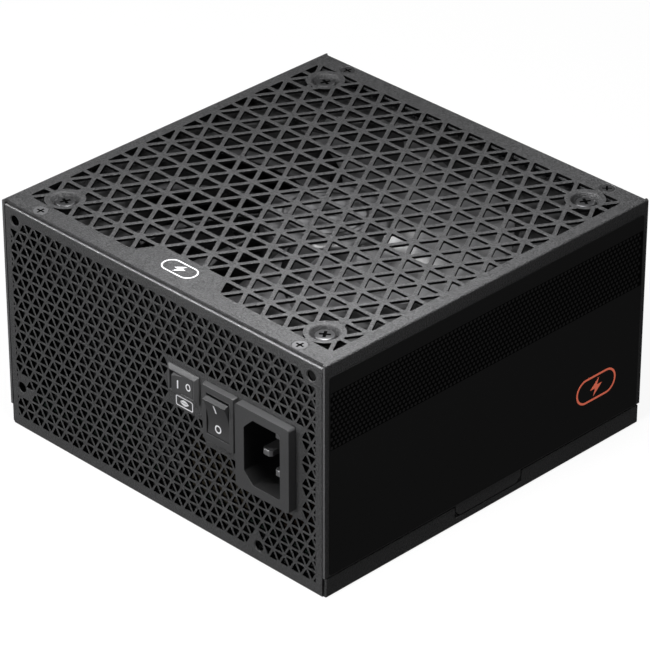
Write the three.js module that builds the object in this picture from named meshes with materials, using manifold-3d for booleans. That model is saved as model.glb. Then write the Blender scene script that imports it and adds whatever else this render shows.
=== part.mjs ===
// A fully modular ATX power supply unit. Millimetres, +Z up, origin at the centre of the case's underside.
// The mains panel faces -Y, the modular output panel faces +Y, and the fan draws air in through the top.
import * as THREE from "three";
import { mergeGeometries, mergeVertices } from "three/addons/utils/BufferGeometryUtils.js";
import Module from "manifold-3d";

const wasm = await Module();
wasm.setup();

// Driving dimensions
const caseWidth = 150; // X
const caseDepth = 150; // Y
const caseHeight = 86; // Z
const sheet = 1; // steel thickness
const bend = 1.6; // outer radius of each fold
const gap = 0.3; // between pieces that touch
const halfWidth = caseWidth / 2;
const halfDepth = caseDepth / 2;

const wallFoot = 7.5; // lower edge of the cover's side walls
const flangeTop = 7; // upper edge of the tray's side flanges
const tab = { y0: -15, y1: 16, z: 3.2 }; // tongue at the foot of each cover wall
const panelHalf = halfWidth - sheet - gap; // half width of the two end panels
const panelTop = caseHeight - sheet - gap; // top of the tray's inturned lips
const lipDepth = 7.5;

const topGrille = { x: 70.3, y: 67.2, pitch: 20, rib: 3 };
const rearGrille = {
  x0: -71.2, x1: 70.9, z0: 4.3, z1: 80.7, pitch: 14.88, rib: 3.3, nodeX: -0.36, nodeZ: 3.9,
};
const badgePad = { x: 15, y0: -67.3, y1: -59.6 }; // solid patch in the grille

const coverScrew = { x: 60.2, y: 71.1, headR: 2.6, headDeep: 1.2, shankR: 1.3, holeR: 1.75, long: 5 };
const fanScrewAt = 60.3; // X and Y of the fan's four screws
const dimple = { rimR: 4.9, floorR: 4, deep: 3, holeR: 1.95, padR: 6.6 };
const fanScrew = { headR: 3.4, headTall: 1.9, shankR: 1.6, long: 9 };
const atxHoles = [[-69, 80], [69, 80], [-69, 16], [45, 6]]; // X, Z of the case-mounting holes
const atxHoleR = 1.8;

const fan = { size: 135, thick: 25, boreR: 64.5, tipR: 62.3, hubR: 21.7, hubTop: 80.6, blades: 11 };
const fanTop = caseHeight - dimple.deep - sheet - 0.1;
const fanFoot = fanTop - fan.thick;

const boardTop = 9.6;
const boardThick = 1.6;
const onBoard = boardTop + gap;
const boardHalf = { x: 70, y: 70 };
const standoffs = [[-64, -64], [64, -64], [64, 60], [-64, 60]];

const inlet = {
  x: 50.2, z: 43.05, wide: 24.2, tall: 30.9, proud: 3.3, bodyWide: 20, bodyTall: 26.9, deep: 25,
};
const inletMouth = { wide: 16.2, tall: 24.2, chamferX: 4, chamferZ: 4, floor: -60 };
const powerSwitch = {
  x: 29.1, z: 47.9, bezelWide: 14.9, bezelTall: 20.9, bezelProud: 2, bevel: 0.4,
  bodyWide: 12.6, bodyTall: 17.6, bodyDeep: 8.6, rockerWide: 10.2, reach: 7.2, pressed: 2, pivotDeep: 0,
  tilt: 18, keel: 4, cavityDeep: 7.6,
};
const ecoSwitch = {
  x: 11.75, z: 52.75, bezelWide: 10.5, bezelTall: 14.5, bezelProud: 1.5, bevel: 1.3,
  bodyWide: 8.6, bodyTall: 12.6, bodyDeep: 6, rockerWide: 6.5, reach: 5.1, pressed: 1.5, pivotDeep: 2.7,
  tilt: 26, keel: 1.4, cavityDeep: 4.8,
};

const cell = { pitch: 4.2, size: 3.4, deep: 8, wall: 0.9 }; // one contact's cell in an output socket
const socketProud = 0.6;
const socketBack = 66;
const sockets = [
  // name, columns of two cells, centre X, centre Z
  ["motherboard_socket_18", 9, -44, 48.5],
  ["motherboard_socket_10", 5, -9, 48.5],
  ["cpu_socket_1", 4, 17, 48.5],
  ["cpu_socket_2", 4, 42, 48.5],
  ["graphics_socket_1", 4, -50, 33],
  ["graphics_socket_2", 4, -26, 33],
  ["graphics_socket_3", 4, -2, 33],
  ["peripheral_socket_1", 3, 24, 33],
  ["peripheral_socket_2", 3, 44, 33],
];

// Finishes
function finish(color, roughness, metalness = 0) {
  return new THREE.MeshStandardMaterial({ color, roughness, metalness });
}

const powderCoat = finish(0x2e2e30, 0.55, 0.2);
const printedFilm = finish(0x141416, 0.45);
const lightPrint = finish(0xe6e6e6, 0.5);
const blackSteel = finish(0x28282a, 0.4, 0.6);
const brightSteel = finish(0xb9bbbf, 0.3, 1);
const fanPlastic = finish(0x232325, 0.5);
const bladePlastic = finish(0x47484b, 0.35);
const blackPlastic = finish(0x18181a, 0.5);
const copper = finish(0xb4693a, 0.35, 0.9);
const circuitBoard = finish(0x1d5a34, 0.5);
const clearSheet = finish(0xd8d8cc, 0.6);
const aluminium = finish(0xa9acb0, 0.4, 0.9);
const ferrite = finish(0x3a3a3d, 0.6);
const tapeYellow = finish(0xd9b21c, 0.5);
const capacitorSleeve = finish(0x1b1b20, 0.4);
const bronze = finish(0x8a6a35, 0.5, 0.8);

// A closed geometry as a solid that can be joined and cut.
function solid(geometry) {
  const bare = geometry.index ? geometry.toNonIndexed() : geometry.clone();
  bare.deleteAttribute("normal");
  bare.deleteAttribute("uv");
  const merged = mergeVertices(bare, 1e-4);
  const vertProperties = merged.attributes.position.array;
  return new wasm.Manifold(new wasm.Mesh({ numProp: 3, vertProperties, triVerts: merged.index.array }));
}

function geometryOf(body) {
  const mesh = body.getMesh();
  const geometry = new THREE.BufferGeometry();
  geometry.setAttribute("position", new THREE.BufferAttribute(mesh.vertProperties, mesh.numProp));
  geometry.setIndex(new THREE.BufferAttribute(mesh.triVerts, 1));
  const facets = geometry.toNonIndexed();
  facets.computeVertexNormals();
  return facets;
}

const group = new THREE.Group();

function add(name, shape, material) {
  const geometry = shape.isBufferGeometry ? shape : geometryOf(shape);
  const mesh = new THREE.Mesh(geometry, material);
  mesh.name = name;
  group.add(mesh);
  return mesh;
}

// Simple forms, by their limits

function block(x0, x1, y0, y1, z0, z1) {
  const box = new THREE.BoxGeometry(x1 - x0, y1 - y0, z1 - z0);
  return box.translate((x0 + x1) / 2, (y0 + y1) / 2, (z0 + z1) / 2);
}

// A round bar from z0 to z1 whose radius may change from r0 to r1.
function bar(x, y, z0, z1, r0, r1 = r0, sides = 16) {
  const cylinder = new THREE.CylinderGeometry(r1, r0, z1 - z0, sides);
  return cylinder.rotateX(Math.PI / 2).translate(x, y, (z0 + z1) / 2);
}

// A profile of [radius, height] points turned about a vertical axis; it runs up the outside.
function turned(x, y, profile, sides = 32) {
  const lathe = new THREE.LatheGeometry(profile.map(([r, z]) => new THREE.Vector2(r, z)), sides);
  return lathe.rotateX(Math.PI / 2).translate(x, y, 0);
}

const extruded = (shapes, depth, curveSegments = 6) =>
  new THREE.ExtrudeGeometry(shapes, { depth, bevelEnabled: false, curveSegments });

// An outline drawn in X and Z, standing up, from y0 to y1.
function facingFront(shapes, y0, y1) {
  const basis = new THREE.Matrix4().makeBasis(
    new THREE.Vector3(1, 0, 0), new THREE.Vector3(0, 0, 1), new THREE.Vector3(0, -1, 0));
  return extruded(shapes, y1 - y0).applyMatrix4(basis).translate(0, y1, 0);
}

// An outline drawn in Y and Z, from x0 to x1.
function facingSide(shapes, x0, x1) {
  const basis = new THREE.Matrix4().makeBasis(
    new THREE.Vector3(0, 1, 0), new THREE.Vector3(0, 0, 1), new THREE.Vector3(1, 0, 0));
  return extruded(shapes, x1 - x0).applyMatrix4(basis).translate(x0, 0, 0);
}

// The signs of X and Y at the four corners, anticlockwise.
const corners = () => [[-1, -1], [1, -1], [1, 1], [-1, 1]];

const polygon = (points) => new THREE.Shape(points.map(([a, b]) => new THREE.Vector2(a, b)));

function rectangle(a0, a1, b0, b1) {
  return polygon([[a0, b0], [a1, b0], [a1, b1], [a0, b1]]);
}

// The section of a strip of sheet folded at right angles. The corners are those of its outer face, and
// every fold turns left.
function foldedStrip(corners, steps = 3) {
  const outer = [];
  const inner = [];
  const left = (d) => new THREE.Vector2(-d.y, d.x);
  const points = corners.map(([a, b]) => new THREE.Vector2(a, b));
  points.forEach((corner, i) => {
    const before = points[i - 1];
    const after = points[i + 1];
    if (!before || !after) {
      const along = before ? corner.clone().sub(before) : after.clone().sub(corner);
      outer.push(corner);
      inner.push(corner.clone().addScaledVector(left(along.normalize()), sheet));
      return;
    }
    const into = corner.clone().sub(before).normalize();
    const centre = corner.clone().addScaledVector(into, -bend).addScaledVector(left(into), bend);
    for (let k = 0; k <= steps; k += 1) {
      const radial = left(into).negate().rotateAround(new THREE.Vector2(), (k / steps) * (Math.PI / 2));
      outer.push(centre.clone().addScaledVector(radial, bend));
      inner.push(centre.clone().addScaledVector(radial, bend - sheet));
    }
  });
  return new THREE.Shape([...outer, ...inner.reverse()]);
}

// Perforation: a lattice of three rib directions leaves triangular holes

// What is left of an outline inside a rectangle.
function clipped(points, a0, a1, b0, b1) {
  const sides = [[0, a0, 1], [0, a1, -1], [1, b0, 1], [1, b1, -1]];
  return sides.reduce((kept, [axis, limit, sign]) => {
    const inside = (p) => (p[axis] - limit) * sign >= 0;
    return kept.flatMap((p, i) => {
      const next = kept[(i + 1) % kept.length];
      const run = inside(p) ? [p] : [];
      if (inside(p) !== inside(next)) {
        const t = (limit - p[axis]) / (next[axis] - p[axis]);
        run.push([p[0] + t * (next[0] - p[0]), p[1] + t * (next[1] - p[1])]);
      }
      return run;
    });
  }, points);
}

// Triangular holes between the ribs, clipped to a window, without those that blocked() refuses.
function latticeHoles({ pitch, rib, a0, a1, b0, b1, nodeA, nodeB, blocked }) {
  const row = (pitch * Math.sqrt(3)) / 2;
  const keep = 1 - (1.5 * rib) / row; // a hole's size as a share of its cell
  const smallest = pitch * pitch * 0.04;
  const holes = [];
  const firstRow = Math.floor((b0 - nodeB) / row);
  const lastRow = Math.ceil((b1 - nodeB) / row);
  for (let j = firstRow; j < lastRow; j += 1) {
    const lower = nodeB + j * row;
    const shift = (Math.abs(j) % 2) * (pitch / 2);
    const firstNode = Math.floor((a0 - nodeA) / pitch) - 1;
    const lastNode = Math.ceil((a1 - nodeA) / pitch) + 1;
    for (let i = firstNode; i <= lastNode; i += 1) {
      const a = nodeA + i * pitch + shift;
      const up = [[a, lower], [a + pitch, lower], [a + pitch / 2, lower + row]];
      const down = [[a + pitch / 2, lower + row], [a + pitch, lower], [a + pitch * 1.5, lower + row]];
      for (const corners of [up, down]) {
        const mid = [0, 1].map((k) => (corners[0][k] + corners[1][k] + corners[2][k]) / 3);
        const hole = corners.map((p) => [0, 1].map((k) => mid[k] + (p[k] - mid[k]) * keep));
        const cut = clipped(hole, a0, a1, b0, b1);
        if (cut.length < 3 || blocked(hole)) continue;
        if (Math.abs(THREE.ShapeUtils.area(polygon(cut).getPoints())) > smallest) holes.push(polygon(cut));
      }
    }
  }
  return holes;
}

// Casing

function topCover() {
  const section = foldedStrip([
    [halfWidth, tab.z], [halfWidth, caseHeight], [-halfWidth, caseHeight], [-halfWidth, tab.z],
  ]);
  let cover = solid(facingFront(section, -halfDepth, halfDepth));
  const below = tab.z - 1;
  const chamfer = 2;
  for (const [y0, y1] of [[-halfDepth - 1, tab.y0], [tab.y1, halfDepth + 1]]) {
    cover = cover.subtract(solid(block(-halfWidth - 1, halfWidth + 1, y0, y1, below, wallFoot)));
  }
  for (const [y, towards] of [[tab.y0, 1], [tab.y1, -1]]) {
    const points = [[y, tab.z + chamfer], [y - towards, below], [y + towards * (chamfer + 1), below]];
    const corner = facingSide(polygon(points), -halfWidth - 1, halfWidth + 1);
    cover = cover.subtract(solid(corner));
  }
  const { x, y, pitch, rib } = topGrille;
  const holes = latticeHoles({
    pitch, rib, a0: -x, a1: x, b0: -y, b1: y, nodeA: 0, nodeB: 0, blocked: () => false,
  });
  const cut = extruded(holes, sheet + 2).translate(0, 0, caseHeight - sheet - 1);
  cover = cover.subtract(solid(cut));
  const plate = [caseHeight - sheet, caseHeight];
  cover = cover.add(solid(block(-badgePad.x, badgePad.x, badgePad.y0, badgePad.y1, ...plate)));
  for (const [sx, sy] of corners()) {
    const [dx, dy] = [sx * fanScrewAt, sy * fanScrewAt];
    const floor = caseHeight - dimple.deep;
    const skin = sheet * 0.8;
    const sides = 10;
    const under = [floor - sheet, caseHeight - 0.5, dimple.floorR + skin, dimple.rimR + skin];
    cover = cover
      .add(solid(bar(dx, dy, ...plate, dimple.padR, dimple.padR, sides)))
      .add(solid(bar(dx, dy, ...under, sides)))
      .subtract(solid(bar(dx, dy, floor, caseHeight + 0.01, dimple.floorR, dimple.rimR, sides)))
      .subtract(solid(bar(dx, dy, floor - sheet - 1, floor + 1, dimple.holeR, dimple.holeR, sides)));
    const sink = [caseHeight - sheet - 0.2, caseHeight + 0.01, coverScrew.holeR, coverScrew.headR + 0.35];
    cover = cover.subtract(solid(bar(sx * coverScrew.x, sy * coverScrew.y, ...sink, sides)));
  }
  return cover;
}

function bottomTray() {
  const ends = foldedStrip([
    [-halfDepth + lipDepth, panelTop], [-halfDepth, panelTop], [-halfDepth, 0],
    [halfDepth, 0], [halfDepth, panelTop], [halfDepth - lipDepth, panelTop],
  ]);
  const floor = foldedStrip([
    [-halfWidth, flangeTop], [-halfWidth, 0], [halfWidth, 0], [halfWidth, flangeTop],
  ]);
  const flangeHalf = halfDepth - bend - 0.1;
  let tray = solid(facingSide(ends, -panelHalf, panelHalf))
    .add(solid(facingFront(floor, -flangeHalf, flangeHalf)));
  const notch = block(-halfWidth - 1, halfWidth + 1, tab.y0 - 0.5, tab.y1 + 0.5, tab.z - 0.5, flangeTop + 1);
  tray = tray.subtract(solid(notch).subtract(solid(block(-73, 73, -80, 80, -1, 90))));
  for (const [x, y] of standoffs) {
    const post = turned(x, y, [[0, 0.5], [3.6, 0.5], [3, 7.7], [1.5, 7.7], [1.5, 2.5], [0, 2.5]], 10);
    tray = tray.add(solid(post));
  }
  tray = tray.subtract(solid(rearOpenings())).subtract(solid(outputOpenings()));
  for (const [sx, sy] of corners()) {
    const hole = bar(sx * coverScrew.x, sy * coverScrew.y, 80, 86, coverScrew.holeR, coverScrew.holeR, 8);
    tray = tray.subtract(solid(hole));
  }
  return tray;
}

// Grille, screw holes and the cut-outs for the inlet and the two switches in the mains panel.
function rearOpenings() {
  const round = ({ x, z }, wide, tall) =>
    rectangle(x - wide / 2 - gap, x + wide / 2 + gap, z - tall / 2 - gap, z + tall / 2 + gap);
  const cutOuts = [
    round(inlet, inlet.bodyWide, inlet.bodyTall),
    round(powerSwitch, powerSwitch.bodyWide, powerSwitch.bodyTall),
    round(ecoSwitch, ecoSwitch.bodyTall, ecoSwitch.bodyWide),
  ];
  const solidZones = [
    [inlet.x, inlet.z, inlet.wide / 2 + 1.5, inlet.tall / 2 + 1.5],
    [powerSwitch.x, powerSwitch.z, powerSwitch.bezelWide / 2 + 1.5, powerSwitch.bezelTall / 2 + 1.5],
    [ecoSwitch.x, ecoSwitch.z - 2, ecoSwitch.bezelTall / 2 + 1.5, ecoSwitch.bezelWide / 2 + 3.5],
  ];
  const blocked = (hole) => {
    const low = [0, 1].map((k) => Math.min(...hole.map((p) => p[k])));
    const high = [0, 1].map((k) => Math.max(...hole.map((p) => p[k])));
    const inZone = solidZones.some(([x, z, halfX, halfZ]) =>
      high[0] > x - halfX && low[0] < x + halfX && high[1] > z - halfZ && low[1] < z + halfZ);
    return inZone || atxHoles.some(([x, z]) => distanceTo(hole, x, z) < atxHoleR + 1.2);
  };
  const { x0, x1, z0, z1, pitch, rib, nodeX, nodeZ } = rearGrille;
  const holes = latticeHoles({
    pitch, rib, a0: x0, a1: x1, b0: z0, b1: z1, nodeA: nodeX, nodeB: nodeZ, blocked,
  });
  const screwHoles = atxHoles.map(([x, z]) => new THREE.Shape().absarc(x, z, atxHoleR, 0, Math.PI * 2));
  return facingFront([...cutOuts, ...holes, ...screwHoles], -halfDepth - 1, -halfDepth + sheet + 1);
}

// How far a point is from an outline's sides.
function distanceTo(outline, a, b) {
  const point = new THREE.Vector3(a, b, 0);
  const nearest = new THREE.Vector3();
  return Math.min(...outline.map((from, i) => {
    const to = outline[(i + 1) % outline.length];
    new THREE.Line3(new THREE.Vector3(...from, 0), new THREE.Vector3(...to, 0))
      .closestPointToPoint(point, true, nearest);
    return nearest.distanceTo(point);
  }));
}

function outputOpenings() {
  const cuts = sockets.map(([, columns, x, z]) => {
    const [halfX, halfZ] = socketHalf(columns);
    return rectangle(x - halfX - gap, x + halfX + gap, z - halfZ - gap, z + halfZ + gap);
  });
  return facingFront(cuts, halfDepth - sheet - 1, halfDepth + 1);
}

const socketHalf = (columns) => [(columns * cell.pitch) / 2 + cell.wall, cell.pitch + cell.wall];

// Fasteners

// A slotted cross, cut into a screw's head from the top.
function crossRecess(x, y, top, reach, deep) {
  const arm = 0.32;
  return solid(block(x - reach, x + reach, y - arm, y + arm, top - deep, top + 1))
    .add(solid(block(x - arm, x + arm, y - reach, y + reach, top - deep, top + 1)));
}

function countersunkScrew(x, y, top, { headR, headDeep, shankR, long }) {
  const profile = [[0, top - long], [shankR, top - long], [shankR, top - headDeep], [headR, top], [0, top]];
  return solid(turned(x, y, profile, 12)).subtract(crossRecess(x, y, top, 1.5, 0.7));
}

function panHeadScrew(x, y, seat, { headR, headTall, shankR, long }) {
  const top = seat + headTall;
  const profile = [
    [0, seat - long], [shankR, seat - long], [shankR, seat], [headR, seat],
    [headR, seat + headTall * 0.5], [headR * 0.7, top], [0, top],
  ];
  return solid(turned(x, y, profile, 10)).subtract(crossRecess(x, y, top, 1.5, 0.8));
}

function screws() {
  corners().forEach(([sx, sy], i) => {
    const top = caseHeight - 0.15;
    const flat = countersunkScrew(sx * coverScrew.x, sy * coverScrew.y, top, coverScrew);
    add(`cover_screw_${i + 1}`, flat, i < 2 ? brightSteel : blackSteel);
    const seat = caseHeight - dimple.deep + gap;
    add(`fan_screw_${i + 1}`, panHeadScrew(sx * fanScrewAt, sy * fanScrewAt, seat, fanScrew), brightSteel);
  });
  const short = { headR: 2.8, headTall: 1.4, shankR: 1.2, long: 6 };
  standoffs.forEach(([x, y], i) => {
    add(`board_screw_${i + 1}`, panHeadScrew(x, y, boardTop + gap, short), brightSteel);
  });
}

// Fan

function fanFrame() {
  const half = fan.size / 2;
  const corner = 7;
  const outline = new THREE.Shape();
  corners().forEach(([sx, sy], i) => {
    const start = (i + 2) * (Math.PI / 2);
    outline.absarc(sx * (half - corner), sy * (half - corner), corner, start, start + Math.PI / 2);
  });
  outline.closePath();
  let frame = solid(extruded(outline, fan.thick, 2).translate(0, 0, fanFoot))
    .subtract(solid(bar(0, 0, fanFoot - 1, fanTop + 1, fan.boreR, fan.boreR, 36)));
  for (const [sx, sy] of corners()) {
    const hole = bar(sx * fanScrewAt, sy * fanScrewAt, fanFoot - 1, fanTop + 1, 2.1, 2.1, 8);
    frame = frame.subtract(solid(hole));
  }
  const strutTop = fanFoot + 3;
  for (const angle of [45, 135, 225, 315]) {
    const strut = block(15, fan.boreR + 1, -1.6, 1.6, fanFoot, strutTop);
    frame = frame.add(solid(strut.rotateZ(THREE.MathUtils.degToRad(angle))));
  }
  const motorSeat = [[0, fanFoot], [20, fanFoot], [20, strutTop], [5.2, strutTop], [5.2, fanFoot + 16],
    [3.9, fanFoot + 16], [3.9, strutTop], [0, strutTop]];
  return frame.add(solid(turned(0, 0, motorSeat, 20)));
}

// One swept blade: a thin twisted sheet between the hub and the tip, its leading edge uppermost.
function blade(turn) {
  const radial = 4;
  const across = 2;
  const thick = 1.3;
  const rootR = fan.hubR - 0.9;
  const lerp = THREE.MathUtils.lerp;
  const point = (i, j, under) => {
    const out = i / radial;
    const along = j / across;
    const r = lerp(rootR, fan.tipR, out);
    const width = lerp(30, 27, out);
    const angle = THREE.MathUtils.degToRad(turn + 25 * out + (along - 0.5) * width);
    const z = lerp(lerp(65, 67.5, out), 79, along) + 1.2 * Math.sin(Math.PI * along) - (under ? thick : 0);
    return [r * Math.cos(angle), r * Math.sin(angle), z];
  };
  const vertices = [];
  for (const under of [false, true]) {
    for (let i = 0; i <= radial; i += 1) {
      for (let j = 0; j <= across; j += 1) vertices.push(...point(i, j, under));
    }
  }
  const at = (i, j, under) => (under ? (radial + 1) * (across + 1) : 0) + i * (across + 1) + j;
  const faces = [];
  const quad = (a, b, c, d) => faces.push(a, b, c, a, c, d);
  for (let i = 0; i < radial; i += 1) {
    for (let j = 0; j < across; j += 1) {
      quad(at(i, j), at(i + 1, j), at(i + 1, j + 1), at(i, j + 1));
      quad(at(i, j, true), at(i, j + 1, true), at(i + 1, j + 1, true), at(i + 1, j, true));
    }
  }
  for (let i = 0; i < radial; i += 1) {
    quad(at(i, 0), at(i, 0, true), at(i + 1, 0, true), at(i + 1, 0));
    quad(at(i, across), at(i + 1, across), at(i + 1, across, true), at(i, across, true));
  }
  for (let j = 0; j < across; j += 1) {
    quad(at(0, j), at(0, j + 1), at(0, j + 1, true), at(0, j, true));
    quad(at(radial, j), at(radial, j, true), at(radial, j + 1, true), at(radial, j + 1));
  }
  const geometry = new THREE.BufferGeometry();
  geometry.setAttribute("position", new THREE.Float32BufferAttribute(vertices, 3));
  geometry.setIndex(faces);
  return geometry;
}

function fanRotor() {
  const { hubR, hubTop } = fan;
  const skirt = fanFoot + 4.6;
  const inner = hubR - 2.2;
  const roof = hubTop - 2;
  let rotor = solid(turned(0, 0, [
    [0, roof - 0.4], [1.75, roof - 0.4], [1.75, roof - 4.6], [3.2, roof - 4.6], [3.2, roof],
    [inner, roof], [inner, skirt], [hubR, skirt], [hubR, hubTop - 1.5], [hubR - 1.5, hubTop], [0, hubTop],
  ], 22));
  for (let i = 0; i < fan.blades; i += 1) {
    rotor = rotor.add(solid(blade((360 / fan.blades) * i + 6)));
  }
  return rotor;
}

function fanStator() {
  const poles = 4;
  const arms = [];
  for (let i = 0; i < poles * 2; i += 1) {
    const mid = (i * Math.PI) / poles;
    const r = i % 2 ? 9 : 17;
    const spread = i % 2 ? 0.2 : 0.3;
    for (const angle of [mid - spread, mid + spread]) arms.push([r * Math.cos(angle), r * Math.sin(angle)]);
  }
  const star = polygon(arms);
  star.holes.push(new THREE.Path().absarc(0, 0, 5.6, 0, Math.PI * 2, true));
  return extruded(star, 9.5).translate(0, 0, fanFoot + 4.5);
}

function ring(x, y, z0, z1, innerR, outerR, sides = 16) {
  return turned(x, y, [[innerR, z0], [outerR, z0], [outerR, z1], [innerR, z1], [innerR, z0]], sides);
}

function fanParts() {
  add("fan_frame", fanFrame(), fanPlastic);
  add("fan_rotor", fanRotor(), bladePlastic);
  add("fan_hub_label", bar(0, 0, fan.hubTop + 0.05, fan.hubTop + 0.2, 15.8, 15.8, 24), lightPrint);
  add("rotor_magnet", ring(0, 0, fanFoot + 5, fanFoot + 15, 17.8, fan.hubR - 2.6, 20), ferrite);
  add("fan_shaft", bar(0, 0, fanFoot + 3.3, fan.hubTop - 2.7, 1.5, 1.5, 12), brightSteel);
  add("fan_bearing", ring(0, 0, fanFoot + 3.3, fanFoot + 15.5, 1.8, 3.6), bronze);
  add("fan_stator", fanStator(), copper);
  const route = new THREE.CatmullRomCurve3([
    new THREE.Vector3(-60, 50, fanFoot - gap), new THREE.Vector3(-61.5, 51, 44),
    new THREE.Vector3(-58, 52, 26), new THREE.Vector3(-60, 52, onBoard),
  ]);
  const section = new THREE.Shape().absarc(0, 0, 1, 0, Math.PI * 2);
  const options = { steps: 9, extrudePath: route, bevelEnabled: false, curveSegments: 4 };
  add("fan_lead", new THREE.ExtrudeGeometry(section, options), blackPlastic);
}

// Mains inlet: the mouth is long in Z, with its two cut corners towards -X

function inletMouthOutline() {
  const { wide, tall, chamferX, chamferZ } = inletMouth;
  const [x0, x1] = [inlet.x - wide / 2, inlet.x + wide / 2];
  const [z0, z1] = [inlet.z - tall / 2, inlet.z + tall / 2];
  const small = 1; // the two corners towards +X
  return polygon([
    [x0, z0 + chamferZ], [x0 + chamferX, z0], [x1 - small, z0], [x1, z0 + small],
    [x1, z1 - small], [x1 - small, z1], [x0 + chamferX, z1], [x0, z1 - chamferZ],
  ]);
}

const blades = [
  // name, centre X, centre Z, tip Y
  ["earth_blade", 48.9, 43.2, -75],
  ["line_blade", 52.9, 50.2, -73.5],
  ["neutral_blade", 52.9, 36.2, -73.5],
];
const bladeHalf = { x: 2, z: 1 };

function inletParts() {
  const { x, z, wide, tall, proud, bodyWide, bodyTall, deep } = inlet;
  const face = -halfDepth - proud;
  const seat = -halfDepth - 0.2;
  const r = 1;
  const bezel = polygon([
    [x - wide / 2, z - tall / 2 + r], [x - wide / 2 + r, z - tall / 2], [x + wide / 2 - r, z - tall / 2],
    [x + wide / 2, z - tall / 2 + r], [x + wide / 2, z + tall / 2 - r], [x + wide / 2 - r, z + tall / 2],
    [x - wide / 2 + r, z + tall / 2], [x - wide / 2, z + tall / 2 - r],
  ]);
  const body = rectangle(x - bodyWide / 2, x + bodyWide / 2, z - bodyTall / 2, z + bodyTall / 2);
  let housing = solid(facingFront(bezel, face, seat))
    .add(solid(facingFront(body, seat - 0.5, -halfDepth + deep)))
    .subtract(solid(facingFront(inletMouthOutline(), face - 1, inletMouth.floor)));
  const clear = 0.2;
  for (const [name, bx, bz, tip] of blades) {
    const slot = block(bx - bladeHalf.x - clear, bx + bladeHalf.x + clear, inletMouth.floor - 1,
      -halfDepth + deep + 1, bz - bladeHalf.z - clear, bz + bladeHalf.z + clear);
    housing = housing.subtract(solid(slot));
    const tail = -halfDepth + deep + 5;
    const outline = polygon([
      [bx - bladeHalf.x, tail], [bx - bladeHalf.x, tip + 1.5], [bx - bladeHalf.x / 2, tip],
      [bx + bladeHalf.x / 2, tip], [bx + bladeHalf.x, tip + 1.5], [bx + bladeHalf.x, tail],
    ]);
    add(name, extruded(outline, bladeHalf.z * 2).translate(0, 0, bz - bladeHalf.z), brightSteel);
  }
  add("inlet_housing", housing, blackPlastic);
}

// Rocker switches, drawn about their pivot: the pivot runs along X, the mouth faces -Y, and the +Z end
// of the rocker stands out at rest while the -Z end is pressed in, level with the panel.

// The rocker's side view: a shallow V whose pressed half lies parallel to the panel.
function rockerOutline({ reach, pressed, pivotDeep, tilt, keel }) {
  const half = THREE.MathUtils.degToRad(tilt / 2);
  const level = pivotDeep + pressed;
  const far = Math.hypot(reach, level);
  const rest = Math.atan2(level, reach) + half;
  const tip = [far * Math.cos(rest), far * Math.sin(rest)];
  const foot = [tip[0] + level * Math.sin(half), tip[1] - level * Math.cos(half)];
  const oneEnd = [tip, foot, [reach * 0.35, -keel]];
  const otherEnd = oneEnd.map(([along, out]) => [-along, out]).reverse();
  const neutral = [[0, level / Math.cos(half)], ...oneEnd, ...otherEnd];
  return neutral.map(([along, out]) => {
    const turnedOut = out * Math.cos(half) + along * Math.sin(half);
    return [-turnedOut, along * Math.cos(half) - out * Math.sin(half)];
  });
}

function rockerSwitch(names, s, turn) {
  const pin = { r: 0.9, long: s.rockerWide / 2 + 0.6 };
  const alongX = (r, half) => new THREE.CylinderGeometry(r, r, half * 2, 12).rotateZ(Math.PI / 2);
  const rocker = solid(facingSide(polygon(rockerOutline(s)), -s.rockerWide / 2, s.rockerWide / 2))
    .add(solid(alongX(pin.r, pin.long)));
  const panel = -s.pivotDeep; // the panel's outer face, seen from the pivot
  const seat = panel - 0.2;
  const slope = solid(bevelledBezel(s, seat));
  const [halfX, halfZ] = [s.bodyWide / 2, s.bodyTall / 2];
  const mouthX = s.rockerWide / 2 + 0.25;
  const mouthZ = s.reach + gap;
  const frame = slope
    .add(solid(block(-halfX, halfX, seat - 0.3, panel + s.bodyDeep, -halfZ, halfZ)))
    .subtract(solid(block(-mouthX, mouthX, panel - 10, panel + s.cavityDeep, -mouthZ, mouthZ)))
    .subtract(solid(alongX(pin.r + gap, pin.long + 0.25)));
  const placed = [[names[0], frame, blackPlastic], [names[1], rocker, blackPlastic]];
  for (const [name, shape, material] of placed) {
    const mesh = add(name, shape, material);
    mesh.position.set(s.x, -halfDepth + s.pivotDeep, s.z);
    mesh.rotation.y = turn;
  }
}

// A bezel whose four outer sides lean in towards its face.
function bevelledBezel({ bezelWide, bezelTall, bezelProud, bevel }, seat) {
  const base = new THREE.BoxGeometry(bezelWide, bezelProud, bezelTall).translate(0, seat - bezelProud / 2, 0);
  const position = base.attributes.position;
  for (let i = 0; i < position.count; i += 1) {
    if (position.getY(i) > seat - bezelProud / 2) continue;
    position.setX(i, position.getX(i) - Math.sign(position.getX(i)) * bevel);
    position.setZ(i, position.getZ(i) - Math.sign(position.getZ(i)) * bevel);
  }
  return base;
}

// Output sockets: two rows of small square cells that open towards +Y

function outputSocket(columns, x, z) {
  const [halfX, halfZ] = socketHalf(columns);
  const mouth = halfDepth + socketProud;
  const cells = [];
  for (let column = 0; column < columns; column += 1) {
    for (const row of [-0.5, 0.5]) {
      const cx = x + (column - (columns - 1) / 2) * cell.pitch;
      const cz = z + row * cell.pitch;
      const half = cell.size / 2;
      cells.push(block(cx - half, cx + half, mouth - cell.deep, mouth + 1, cz - half, cz + half));
    }
  }
  return solid(block(x - halfX, x + halfX, socketBack, mouth, z - halfZ, z + halfZ))
    .subtract(solid(mergeGeometries(cells)));
}

// Circuit boards and what stands on them

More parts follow.
